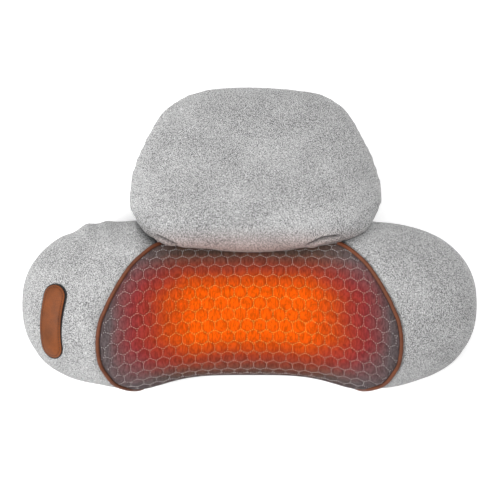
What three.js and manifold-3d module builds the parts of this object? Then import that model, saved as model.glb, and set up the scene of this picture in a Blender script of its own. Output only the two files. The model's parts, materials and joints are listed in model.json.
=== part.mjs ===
// Shiatsu neck massager pillow: soft bolster, head cushion, kneading mechanism. Millimetres, +Z up.
import * as THREE from 'three';
import { mergeVertices } from 'three/addons/utils/BufferGeometryUtils.js';
import Module from 'manifold-3d';

const wasm = await Module();
wasm.setup();

// ---- bolster (the pillow lies on its flat back, massage face up) ----
const HALF_LENGTH = 215;
const HALF_HEIGHT = 83;
const CENTRE_Y = 2.5;
const MIDDLE_Z = 48;
const WING_RISE = 58;
const WAIST_RISE_LOSS = 14;
const FALL = 68;
const END_POWER = 4;
const END_ROUNDING = 0.43;
const WAIST_HALF_WIDTH = 110;
const WAIST_BELOW = 16;
const WAIST_ABOVE = 26;
const UPPER_POWER = 2.3;
const LOWER_POWER = 3;
const SKIN = 1.4;
const HEATER_OUTSIDE = 1.75;
const HEATER_INSIDE = 2.3;
const FOAM_INSET = 2.65;
const BASE_TOP = 12;
const FIT = 0.3;
const STATIONS = 22;
const UPPER_STEPS = 10;
const LOWER_TURNS = [0, 0.11, 0.22, 0.36, 0.64, 0.78, 0.89];

// ---- massage panel outline (right half, from the crease down to the lower edge) ----
const PANEL_OUTLINE = [
  [0, 54], [45, 55.5], [84, 60], [100, 50], [111, 39.5], [120, 27], [129, 11.5], [136, -3],
  [141, -16], [143.2, -34], [141, -53], [135, -64], [127, -73], [118, -76.6], [111.5, -77.6],
];
const CREASE_POINTS = 3;
const PANEL_FOOT_X = 96;
const PIPING_RADIUS = 2;
const PIPING_PROUD = 0.8;
const PIPING_GROOVE = 2.45;
const PIPING_SIDES = 6;
const PIPING_STEPS = 20;
const HEATER_HALF = [95, 42];

// ---- head cushion (right half outline, plan view, from the crease to the far edge) ----
const CUSHION_CENTRE_X = 4;
const CUSHION_OUTLINE = [
  [0, 52.5], [50, 55], [92, 63], [110, 80], [118, 104], [111, 138], [96, 170], [77, 192], [50, 203], [0, 206.5],
];
const CUSHION_MIDDLE_Y = 128;
const CUSHION_FRONT = 28;
const CUSHION_BACK = 16;
const CUSHION_SAG = 9;
const CUSHION_SAG_REACH = 60;
const HINGE_Y = 56;
const HINGE_Z = 94;
const CUSHION_DROP = 0.597;
const CUSHION_SKIN = 1.4;
const STRIP_BELOW_SEAM = 10;
const STRIP_ABOVE_BAND = 2;
const CUSHION_SIDES = 26;
const CUSHION_RINGS = [0.3, 0.58, 0.8, 0.93, 1];

// ---- button on the left wing (centreline in plan, offsets from its own centre) ----
const BUTTON_CENTRE = [-186.5, -13.5];
const BUTTON_TILT = 0.45;
const BUTTON_CENTRELINE = [[4.2, 23.6], [0.7, 6], [-1.3, -9], [-2.4, -23.9]];
const BUTTON_HALF_WIDTH = 10.6;
const BUTTON_PROUD = 2.8;
const TRAY_PROUD = 1.5;
const TRAY_WALL = 1.4;
const TRAY_DEPTH = 10;
const TRAY_FLOOR = 4.6;
const BUTTON_BODY = 1.6;
const BUTTON_GAP = 0.4;
const BUTTON_TRAVEL = 1.2;
const BUTTON_STEM_RADIUS = 2.2;
const STEM_BAY_RADIUS = 5;
const SWITCH_BAY_HALF = [6, 16];
const SWITCH_BAY_WALL = 1.4;
const SWITCH_BOARD_HALF_X = 5.5;
const SWITCH_BOARD_Y = [-9, 15.4];
const BOARD_THICKNESS = 1.5;
const SWITCH_HALF = 3;
const SWITCH_HEIGHT = 1.8;
const LEAD_HOLE_Y = -12;
const LEAD_HOLE_RADIUS = 2.3;

// ---- kneading mechanism ----
const ROTOR_X = 37;
const DRIVE_Z = 22;
const GEAR_MODULE = 2;
const WHEEL_TEETH = 30;
const WHEEL_PITCH_RADIUS = GEAR_MODULE * WHEEL_TEETH / 2;
const WHEEL_TIP_RADIUS = 31.4;
const WHEEL_ROOT_RADIUS = 28.2;
const WHEEL_THICKNESS = 8;
const WORM_ROOT_RADIUS = 5;
const WORM_TIP_RADIUS = 8.4;
const WORM_PITCH = Math.PI * GEAR_MODULE;
const WORM_TURNS = 3;
const WORM_LEAD_ANGLE = 0.142;
const TOOTH_SHARE = 0.38;
const PRESSURE_SLOPE = 0.36;
const SHAFT_RADIUS = 4;
const SHAFT_BORE = 4.14;
const HOUSING_RADIUS = 36.5;
const HOUSING_WALL = 2;
const HOUSING_FLOOR = 3.2;
const HOUSING_SPLIT = 24;
const HOUSING_TOP = 40;
const MOTOR_BAY = [15.2, -51.8];
const MOTOR_RADIUS = 12.2;
const MOTOR_FRONT = -21;
const MOTOR_BACK = -46.6;
const ARM_BOTTOM = 42.4;
const ARM_TOP = 46.6;
const NODE_OFFSET = 22;
const NODE_RADIUS = 11;
const NODE_HIGH_TOP = 76;
const NODE_LOW_TOP = 67;
const SCREW_PLACES = [[12, 30.2], [-12, 30.2], [20.6, -40], [-20.6, -40]];
const SCREW_BOSS_RADIUS = 4.4;
const SCREW_SHANK_RADIUS = 1.4;
const SCREW_HEAD_RADIUS = 2.9;
const SCREW_HEAD_HEIGHT = 1.8;
const BUSH_RADIUS = 6.5;
const BUSH_SEAT_RADIUS = 6.9;
const BUSH_BOSS_RADIUS = 9;
const LOWER_BUSH_TOP = 12.6;
const UPPER_BUSH_BOTTOM = 33.2;
const CRADLES = [[-45, -41], [-27, -24]];
const CRADLE_TOP = 17;
const BEARING_Y = [14.2, 19.8];
const BEARING_SEAT_TOP = 15.4;
const JOURNAL_RADIUS = 2.5;
const MOTOR_SHAFT_RADIUS = 1.6;
const ARM_SCREW_RADIUS = 1.5;
const ARM_SCREW_HOLE = 1.9;
const NODE_STEM_HOLE = 3.4;
const NODE_STEM_RADIUS = 3;

// ---- zip and power socket ----
const ZIP_Y = 41;
const ZIP_HALF_LENGTH = 80;
const ZIP_SLOT = 9;
const ZIP_TAPE_REACH = 6.3;
const ZIP_TAPE_Z = [2.3, 3];
const ZIP_COIL_Z = [1.7, 3.6];
const SLIDER_X = [64, 76];
const SLIDER_HALF_Y = 4;
const SOCKET_X = 150;
const SOCKET_Z = 27;
const SOCKET_BODY_RADIUS = 5.6;
const SOCKET_BODY_LENGTH = 14;
const SOCKET_BORE_RADIUS = 2.9;
const SOCKET_PIN_RADIUS = 0.9;
const SOCKET_COVER_HOLE = 6.4;
const SOCKET_FOAM_HOLE = 7;
const BEZEL_RADIUS = 8.6;
const BEZEL_BORE = 6;
const BEZEL_FROM = 0.3;
const BEZEL_TO = 1.1;
const LEAD_RADIUS = 1.1;
const LEAD_CHANNEL = 2.2;
const LEAD_STEPS = 12;

const COLOURS = {
  melange: [0xb4b4b5, 0.95, 0], mesh: [0x6a3f3a, 0.85, 0], leather: [0x96583a, 0.5, 0],
  foam: [0xe9e4d2, 0.95, 0], backing: [0x4b4b4e, 0.95, 0], black: [0x1d1d1f, 0.45, 0],
  nylon: [0xe8e6df, 0.45, 0], steel: [0xb9bcc0, 0.3, 1], bronze: [0x9c6b34, 0.4, 1],
  board: [0x1f6b3f, 0.6, 0], film: [0x2e2a28, 0.6, 0], node: [0x2c2c30, 0.35, 0], lead: [0x222226, 0.55, 0],
};

const group = new THREE.Group();
group.name = 'shiatsu_neck_massager';

function addMesh(name, geometry, colour) {
  const [hex, roughness, metalness] = COLOURS[colour];
  const material = new THREE.MeshStandardMaterial({ color: hex, roughness, metalness });
  const mesh = new THREE.Mesh(geometry, material);
  mesh.name = name;
  group.add(mesh);
}

function toSolid(geometry) {
  const bare = geometry.clone();
  bare.deleteAttribute('normal');
  bare.deleteAttribute('uv');
  const merged = mergeVertices(bare, 1e-4);
  return new wasm.Manifold(new wasm.Mesh({
    numProp: 3,
    vertProperties: new Float32Array(merged.attributes.position.array),
    triVerts: new Uint32Array(merged.index.array),
  }));
}

function fromSolid(manifold) {
  const mesh = manifold.getMesh();
  const geometry = new THREE.BufferGeometry();
  geometry.setAttribute('position', new THREE.BufferAttribute(new Float32Array(mesh.vertProperties), 3));
  geometry.setIndex(new THREE.BufferAttribute(new Uint32Array(mesh.triVerts), 1));
  geometry.computeVertexNormals();
  return geometry;
}

function box(x0, x1, y0, y1, z0, z1) {
  const geometry = new THREE.BoxGeometry(x1 - x0, y1 - y0, z1 - z0);
  geometry.translate((x0 + x1) / 2, (y0 + y1) / 2, (z0 + z1) / 2);
  return toSolid(geometry);
}

function cylinder(radius, from, to, sides = 20) {
  const start = new THREE.Vector3(...from);
  const end = new THREE.Vector3(...to);
  const along = end.clone().sub(start);
  const geometry = new THREE.CylinderGeometry(radius, radius, along.length(), sides);
  geometry.applyQuaternion(new THREE.Quaternion().setFromUnitVectors(
    new THREE.Vector3(0, 1, 0), along.clone().normalize()));
  geometry.translate(...start.clone().add(end).multiplyScalar(0.5).toArray());
  return toSolid(geometry);
}

function prism(points, z0, z1) {
  const shape = new THREE.Shape(points.map(([x, y]) => new THREE.Vector2(x, y)));
  const geometry = new THREE.ExtrudeGeometry(shape, { depth: z1 - z0, bevelEnabled: false, steps: 1 });
  geometry.translate(0, 0, z0);
  return toSolid(geometry);
}

function tube(points, radius, sides, steps) {
  const curve = new THREE.CatmullRomCurve3(points);
  const round = [];
  for (let i = 0; i < sides; i += 1) {
    const angle = 2 * Math.PI * i / sides;
    round.push(new THREE.Vector2(radius * Math.cos(angle), radius * Math.sin(angle)));
  }
  return toSolid(new THREE.ExtrudeGeometry(new THREE.Shape(round), {
    steps, extrudePath: curve, bevelEnabled: false,
  }));
}

function lathe(profile, sides) {
  const geometry = new THREE.LatheGeometry(profile.map(([r, h]) => new THREE.Vector2(r, h)), sides);
  geometry.rotateX(Math.PI / 2);
  return toSolid(geometry);
}

function signedPower(value, power) {
  return Math.sign(value) * Math.abs(value) ** power;
}

function signedVolume(positions, index) {
  const corners = [new THREE.Vector3(), new THREE.Vector3(), new THREE.Vector3()];
  let volume = 0;
  for (let i = 0; i < index.length; i += 3) {
    corners.forEach((corner, k) => corner.fromArray(positions, 3 * index[i + k]));
    volume += corners[0].dot(corners[1].cross(corners[2])) / 6;
  }
  return volume;
}

function ringMiddle(ring) {
  const sum = ring.reduce((total, point) => total.add(point), new THREE.Vector3());
  return sum.multiplyScalar(1 / ring.length);
}

// A closed body from rings of equal length, closed by one point at each end.
function ringBody(firstPole, rings, lastPole) {
  const count = rings[0].length;
  const positions = [...firstPole.toArray()];
  rings.forEach((ring) => ring.forEach((point) => positions.push(...point.toArray())));
  positions.push(...lastPole.toArray());
  const last = 1 + count * rings.length;
  const index = [];
  for (let j = 0; j < count; j += 1) {
    const next = (j + 1) % count;
    index.push(0, 1 + next, 1 + j);
    for (let i = 0; i < rings.length - 1; i += 1) {
      const a = 1 + i * count;
      const b = a + count;
      index.push(a + j, a + next, b + j, a + next, b + next, b + j);
    }
    index.push(last, last - count + j, last - count + next);
  }
  if (signedVolume(positions, index) < 0) {
    index.reverse();
  }
  const geometry = new THREE.BufferGeometry();
  geometry.setAttribute('position', new THREE.BufferAttribute(new Float32Array(positions), 3));
  geometry.setIndex(index);
  return toSolid(geometry);
}

function mirrored(solid) {
  const geometry = fromSolid(solid);
  const positions = geometry.attributes.position;
  for (let i = 0; i < positions.count; i += 1) {
    positions.setX(i, -positions.getX(i));
  }
  geometry.index.array.reverse();
  geometry.computeVertexNormals();
  return toSolid(geometry);
}

// ---- the bolster's outside, and the same surface moved inward by an inset ----
function sectionAt(x) {
  const reach = Math.min(1, Math.abs(x) / HALF_LENGTH);
  const ending = (1 - reach ** END_POWER) ** END_ROUNDING;
  const nearWaist = Math.min(1, Math.abs(x) / WAIST_HALF_WIDTH);
  const waist = Math.cos(Math.PI / 2 * nearWaist ** 2) ** 2;
  const bottom = CENTRE_Y - HALF_HEIGHT * ending + WAIST_BELOW * waist;
  const top = CENTRE_Y + HALF_HEIGHT * ending - WAIST_ABOVE * waist;
  return {
    y: (bottom + top) / 2,
    half: (top - bottom) / 2,
    rise: ending * (WING_RISE - WAIST_RISE_LOSS * waist),
    fall: FALL * ending,
  };
}

function bolsterPoint(u, angle, inset) {
  const section = sectionAt(u * HALF_LENGTH);
  const sine = Math.sin(angle);
  const power = 2 / (sine >= 0 ? UPPER_POWER : LOWER_POWER);
  const reach = sine >= 0 ? section.rise * (1 - inset / WING_RISE) : section.fall * (1 - inset / FALL);
  const y = section.y + signedPower(Math.cos(angle), power) * section.half * (1 - inset / HALF_HEIGHT);
  const z = MIDDLE_Z + signedPower(sine, power) * reach;
  return new THREE.Vector3(u * (HALF_LENGTH - inset), y, Math.max(inset, z));
}

function bolsterSolid(inset) {
  const angles = [];
  for (let i = 0; i < UPPER_STEPS; i += 1) {
    angles.push(Math.PI * i / UPPER_STEPS);
  }
  LOWER_TURNS.forEach((turn) => angles.push(Math.PI * (1 + turn)));
  const rings = [];
  for (let i = 1; i < STATIONS; i += 1) {
    const u = Math.sin(Math.PI * (i / STATIONS - 0.5));
    rings.push(angles.map((angle) => bolsterPoint(u, angle, inset)));
  }
  const reach = HALF_LENGTH - inset;
  const left = new THREE.Vector3(-reach, CENTRE_Y, MIDDLE_Z);
  return ringBody(left, rings, new THREE.Vector3(reach, CENTRE_Y, MIDDLE_Z));
}

function bolsterFrontZ(x, y, inset) {
  const section = sectionAt(x / (1 - inset / HALF_LENGTH));
  const across = Math.min(1, Math.abs(y - section.y) / (section.half * (1 - inset / HALF_HEIGHT)));
  const rise = section.rise * (1 - inset / WING_RISE);
  return MIDDLE_Z + rise * (1 - across ** UPPER_POWER) ** (1 / UPPER_POWER);
}

function bolsterSideY(x, z, inset) {
  const section = sectionAt(x / (1 - inset / HALF_LENGTH));
  const down = (MIDDLE_Z - z) / (section.fall * (1 - inset / FALL));
  const half = section.half * (1 - inset / HALF_HEIGHT);
  return section.y - half * (1 - down ** LOWER_POWER) ** (1 / LOWER_POWER);
}

function panelSideX(z) {
  const cornerX = PANEL_OUTLINE.at(-1)[0];
  return PANEL_FOOT_X + (cornerX - PANEL_FOOT_X) * (z - BASE_TOP) / (MIDDLE_Z - BASE_TOP);
}

function panelRegion() {
  const cornerX = PANEL_OUTLINE.at(-1)[0];
  const right = [...PANEL_OUTLINE, [cornerX, -120]];
  const left = right.slice(1).map(([x, y]) => [-x, y]).reverse();
  const front = prism([...right, ...left], MIDDLE_Z - 0.1, 140);
  const footX = panelSideX(0);
  const side = toSolid(new THREE.ExtrudeGeometry(new THREE.Shape([
    new THREE.Vector2(-footX, 0), new THREE.Vector2(footX, 0),
    new THREE.Vector2(cornerX, MIDDLE_Z), new THREE.Vector2(-cornerX, MIDDLE_Z),
  ]), { depth: 80, bevelEnabled: false }).rotateX(Math.PI / 2).translate(0, -40, 0));
  return front.add(side);
}

function bandRegion(grow) {
  const crease = PANEL_OUTLINE.slice(0, CREASE_POINTS).map(([x, y]) => [x, y + 0.6 - grow]);
  const edge = crease.at(-1)[0] + grow;
  const right = [...crease.slice(0, -1), [edge, crease.at(-1)[1]], [edge, 120]];
  const left = right.slice(1).map(([x, y]) => [-x, y]).reverse();
  const below = box(-edge, edge, 0, crease.at(-1)[1], -10, MIDDLE_Z);
  return prism([...right, ...left], -10, 140).add(below);
}

function pipingPath() {
  const front = PANEL_OUTLINE.slice(CREASE_POINTS - 1, -1);
  const path = front.map(([x, y]) => new THREE.Vector3(x, y, bolsterFrontZ(x, y, -PIPING_PROUD)));
  for (const z of [46, 34, 22, BASE_TOP + 1.2]) {
    path.push(new THREE.Vector3(panelSideX(z), bolsterSideY(panelSideX(z), z, -PIPING_PROUD), z));
  }
  return path;
}

function pipingSolid(radius) {
  return tube(pipingPath(), radius, PIPING_SIDES, PIPING_STEPS);
}

// ---- button on the left wing, built upright and tilted onto the wing ----
function buttonOutline(grow) {
  const curve = new THREE.CatmullRomCurve3(BUTTON_CENTRELINE.map(([x, y]) => new THREE.Vector3(x, y, 0)));
  const radius = BUTTON_HALF_WIDTH + grow;
  const along = 6;
  const right = [];
  const left = [];
  for (let i = 0; i <= along; i += 1) {
    const point = curve.getPoint(i / along);
    const tangent = curve.getTangent(i / along);
    right.push([point.x + tangent.y * radius, point.y - tangent.x * radius]);
    left.unshift([point.x - tangent.y * radius, point.y + tangent.x * radius]);
  }
  const cap = (t, sign) => {
    const centre = curve.getPoint(t);
    const tangent = curve.getTangent(t).multiplyScalar(sign);
    return [1, 2, 3, 4].map((k) => {
      const angle = Math.atan2(tangent.y, tangent.x) + Math.PI / 2 - Math.PI * k / 5;
      return [centre.x + radius * Math.cos(angle), centre.y + radius * Math.sin(angle)];
    });
  };
  return [...right, ...cap(1, 1).reverse(), ...left, ...cap(0, -1).reverse()];
}

function onWing(solid) {
  const [x, y] = BUTTON_CENTRE;
  const geometry = fromSolid(solid);
  geometry.rotateY(-BUTTON_TILT);
  geometry.translate(x, y, bolsterFrontZ(x, y, 0));
  return toSolid(geometry);
}

function buttonPad(grow, top, bottom) {
  const pad = onWing(prism(buttonOutline(grow), -30, 14)).intersect(bolsterSolid(top));
  return pad.subtract(bolsterSolid(bottom));
}

function switchBay(halfX, halfY, floor) {
  return onWing(box(-halfX, halfX, -halfY, halfY, floor, -BUTTON_BODY - 1));
}

function addButton() {
  const stem = onWing(cylinder(BUTTON_STEM_RADIUS, [0, 0, -BUTTON_BODY - 1.4], [0, 0, -1], 12));
  addMesh('button_cap', fromSolid(buttonPad(0, -BUTTON_PROUD, BUTTON_BODY).add(stem)), 'leather');
  const recessFloor = BUTTON_BODY + BUTTON_TRAVEL + 0.4;
  const recess = onWing(prism(buttonOutline(BUTTON_GAP), -30, 14)).subtract(bolsterSolid(recessFloor));
  const bayFloor = SWITCH_BAY_WALL - TRAY_DEPTH;
  const [bayX, bayY] = SWITCH_BAY_HALF;
  const stemBay = onWing(cylinder(STEM_BAY_RADIUS, [0, 0, bayFloor], [0, 0, 2], 14));
  const bay = switchBay(bayX, bayY, bayFloor).add(stemBay);
  const leadHole = onWing(cylinder(
    LEAD_HOLE_RADIUS, [0, LEAD_HOLE_Y, -TRAY_DEPTH - 2], [0, LEAD_HOLE_Y, bayFloor + 1.6], 10));
  const tray = buttonPad(TRAY_WALL, -TRAY_PROUD, TRAY_FLOOR)
    .add(switchBay(bayX + SWITCH_BAY_WALL, bayY + SWITCH_BAY_WALL, -TRAY_DEPTH));
  addMesh('button_tray', fromSolid(tray.subtract(recess).subtract(bay).subtract(leadHole)), 'black');
  const boardBottom = bayFloor + FIT;
  const boardTop = boardBottom + BOARD_THICKNESS;
  const board = onWing(box(
    -SWITCH_BOARD_HALF_X, SWITCH_BOARD_HALF_X, ...SWITCH_BOARD_Y, boardBottom, boardTop));
  addMesh('switch_board', fromSolid(board), 'board');
  const switchBottom = boardTop + 0.2;
  const tactSwitch = onWing(box(
    -SWITCH_HALF, SWITCH_HALF, -SWITCH_HALF, SWITCH_HALF, switchBottom, switchBottom + SWITCH_HEIGHT));
  addMesh('tact_switch', fromSolid(tactSwitch), 'black');
}

function buttonClearance(grow) {
  const pad = onWing(prism(buttonOutline(TRAY_WALL + grow), -30, 14)).subtract(bolsterSolid(TRAY_FLOOR + grow));
  const wall = SWITCH_BAY_WALL + grow;
  return pad.add(switchBay(SWITCH_BAY_HALF[0] + wall, SWITCH_BAY_HALF[1] + wall, -TRAY_DEPTH - grow));
}

// ---- bolster covers, panel, piping, foam and heater ----
function socketPoint(out) {
  const step = 0.5;
  const y = bolsterSideY(SOCKET_X, SOCKET_Z, 0);
  const slopeX = (bolsterSideY(SOCKET_X + step, SOCKET_Z, 0) - y) / step;
  const slopeZ = (bolsterSideY(SOCKET_X, SOCKET_Z + step, 0) - y) / step;
  const outward = new THREE.Vector3(slopeX, -1, slopeZ).normalize();
  return outward.multiplyScalar(out).add(new THREE.Vector3(SOCKET_X, y, SOCKET_Z)).toArray();
}

function socketCylinder(radius, inner, outer, sides) {
  return cylinder(radius, socketPoint(inner), socketPoint(outer), sides);
}

function addBolsterCovers() {
  const skin = bolsterSolid(0).subtract(bolsterSolid(SKIN));
  const upper = skin.intersect(box(-230, 230, -120, 120, BASE_TOP + FIT, 140));
  const panel = panelRegion();
  const groove = pipingSolid(PIPING_GROOVE);
  const grooves = groove.add(mirrored(groove));
  const panelSkin = upper.intersect(panel).subtract(grooves);
  addMesh('massage_panel', fromSolid(panelSkin), 'mesh');
  addMesh('top_band', fromSolid(upper.intersect(bandRegion(0))), 'melange');
  const wings = upper.subtract(panel).subtract(bandRegion(FIT)).subtract(grooves);
  const left = wings.intersect(box(-230, 0, -120, 120, 0, 140)).subtract(buttonClearance(FIT));
  const right = wings.intersect(box(0, 230, -120, 120, 0, 140))
    .subtract(socketCylinder(SOCKET_COVER_HOLE, -20, 12, 20));
  addMesh('left_wing_cover', fromSolid(left), 'melange');
  addMesh('right_wing_cover', fromSolid(right), 'melange');
  const slotHalf = ZIP_HALF_LENGTH + 2;
  const slot = box(-slotHalf, slotHalf, ZIP_Y - ZIP_SLOT / 2, ZIP_Y + ZIP_SLOT / 2, -1, 5);
  const base = skin.intersect(box(-230, 230, -120, 120, -1, BASE_TOP)).subtract(slot);
  addMesh('base_panel', fromSolid(base), 'backing');
  const piping = pipingSolid(PIPING_RADIUS);
  addMesh('right_piping', fromSolid(piping), 'leather');
  addMesh('left_piping', fromSolid(mirrored(piping)), 'leather');
}

function housingPlan(radius, bayHalf, bayEnd) {
  const points = [];
  const steps = 8;
  for (let i = 0; i <= steps; i += 1) {
    const angle = Math.PI / 2 - Math.PI * i / steps;
    points.push([ROTOR_X + radius * Math.cos(angle), radius * Math.sin(angle)]);
  }
  points.push([bayHalf, -radius], [bayHalf, bayEnd], [-bayHalf, bayEnd], [-bayHalf, -radius]);
  for (let i = 0; i <= steps; i += 1) {
    const angle = -Math.PI / 2 - Math.PI * i / steps;
    points.push([-ROTOR_X + radius * Math.cos(angle), radius * Math.sin(angle)]);
  }
  return points;
}

function addFoam() {
  const whole = bolsterSolid(FOAM_INSET);
  const [bayHalf, bayEnd] = MOTOR_BAY;
  const mechanism = prism(housingPlan(HOUSING_RADIUS + 2, bayHalf + 11, bayEnd - 2), -1, HOUSING_TOP + 2);
  const rotors = prism(housingPlan(HOUSING_RADIUS - 0.5, 1, -HOUSING_RADIUS), HOUSING_TOP, NODE_HIGH_TOP + 3);
  const zipSpace = box(-ZIP_HALF_LENGTH - 4, ZIP_HALF_LENGTH + 4, ZIP_Y - 9, ZIP_Y + 9, -1, 6.5);
  const leadSpace = leadSolid(buttonLeadPath(), LEAD_CHANNEL).add(leadSolid(powerLeadPath(), LEAD_CHANNEL));
  const cut = 99.8;
  const centre = whole.intersect(box(-cut, cut, -120, 120, -1, 140));
  addMesh('centre_foam', fromSolid(
    centre.subtract(mechanism).subtract(rotors).subtract(zipSpace).subtract(leadSpace)), 'foam');
  const left = whole.intersect(box(-230, -cut - FIT, -120, 120, -1, 140)).subtract(leadSpace);
  addMesh('left_foam', fromSolid(left.subtract(buttonClearance(FIT))), 'foam');
  const right = whole.intersect(box(cut + FIT, 230, -120, 120, -1, 140)).subtract(leadSpace);
  addMesh('right_foam', fromSolid(right.subtract(socketCylinder(SOCKET_FOAM_HOLE, -18, 12, 16))), 'foam');
  const [heatX, heatY] = HEATER_HALF;
  const film = bolsterSolid(HEATER_OUTSIDE).subtract(bolsterSolid(HEATER_INSIDE));
  addMesh('heater_film', fromSolid(film.intersect(box(-heatX, heatX, -heatY, heatY, MIDDLE_Z, 140))), 'film');
}

// ---- head cushion: front cover, back cover and foam round one sagging middle surface ----
function cushionPoint(side, share, inset, height) {
  const half = CUSHION_OUTLINE.map(([x, y]) => new THREE.Vector3(x, y, 0));
  const mirror = half.slice(1, -1).map((point) => new THREE.Vector3(-point.x, point.y, 0)).reverse();
  const outline = new THREE.CatmullRomCurve3([...half, ...mirror], true).getPoint(side / CUSHION_SIDES);
  const grow = share * (1 - inset / 80);
  const x = outline.x * grow;
  const y = CUSHION_MIDDLE_Y + (outline.y - CUSHION_MIDDLE_Y) * grow;
  return new THREE.Vector3(CUSHION_CENTRE_X + x, y, cushionMiddleZ(x, y) + height);
}

function cushionMiddleZ(x, y) {
  const fade = Math.min(1, Math.max(0, (y - CUSHION_OUTLINE[0][1]) / CUSHION_SAG_REACH));
  const middle = Math.cos(Math.PI / 2 * Math.min(1, Math.abs(x) / 95)) ** 2;
  const sag = CUSHION_SAG * middle * (1 - fade * fade * (3 - 2 * fade));
  return HINGE_Z - sag - CUSHION_DROP * (y - HINGE_Y);
}

function puff(share, full) {
  return full * Math.sqrt(1 - share ** 2.6);
}

function cushionRing(share, inset, height) {
  const ring = [];
  for (let side = 0; side < CUSHION_SIDES; side += 1) {
    ring.push(cushionPoint(side, share, inset, height));
  }
  return ring;
}

function cushionCover(full) {
  const sign = Math.sign(full);
  const seam = sign * FIT / 2;
  const inner = full - sign * CUSHION_SKIN;
  const outside = CUSHION_RINGS.map((share) => (
    cushionRing(share, 0, sign * Math.max(FIT / 2, Math.abs(puff(share, full))))));
  const inside = CUSHION_RINGS.map((share) => (
    cushionRing(share, CUSHION_SKIN, seam + puff(share, inner - seam)))).reverse();
  return ringBody(cushionPoint(0, 0, 0, full), [...outside, ...inside], cushionPoint(0, 0, 0, inner));
}

function cushionFoam() {
  const inset = CUSHION_SKIN + 0.6;
  const front = CUSHION_RINGS.map((share) => cushionRing(share, inset, puff(share, CUSHION_FRONT - inset)));
  const back = CUSHION_RINGS.slice(0, -1).reverse()
    .map((share) => cushionRing(share, inset, -puff(share, CUSHION_BACK - inset)));
  return ringBody(cushionPoint(0, 0, 0, CUSHION_FRONT - inset), [...front, ...back],
    cushionPoint(0, 0, 0, inset - CUSHION_BACK));
}

function addCushion() {
  addMesh('cushion_front_cover', fromSolid(cushionCover(CUSHION_FRONT)), 'melange');
  addMesh('cushion_back_cover', fromSolid(cushionCover(-CUSHION_BACK)), 'melange');
  addMesh('cushion_foam', fromSolid(cushionFoam()), 'foam');
}

// The fabric strip that joins the bolster's crease to the cushion's lower seam.
function addHingeStrip() {
  const outlineAt = (x) => 53.4 + 7.2 * (x / 84) ** 2;
  const rings = [];
  const steps = 12;
  for (let i = 0; i <= steps; i += 1) {
    const x = -72 + 144 * i / steps;
    const y = outlineAt(x) + 3.2;
    const low = bolsterFrontZ(x, y, 0) + STRIP_ABOVE_BAND;
    const high = Math.max(low + 1.5, cushionMiddleZ(x, y) - STRIP_BELOW_SEAM);
    rings.push([
      new THREE.Vector3(x, y, low), new THREE.Vector3(x, y + 0.8, low + 0.4),
      new THREE.Vector3(x, y + 0.8, high), new THREE.Vector3(x, y, high),
    ]);
  }
  addMesh('cushion_hinge_strip', fromSolid(
    ringBody(ringMiddle(rings[0]), rings, ringMiddle(rings.at(-1)))), 'melange');
}

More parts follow.
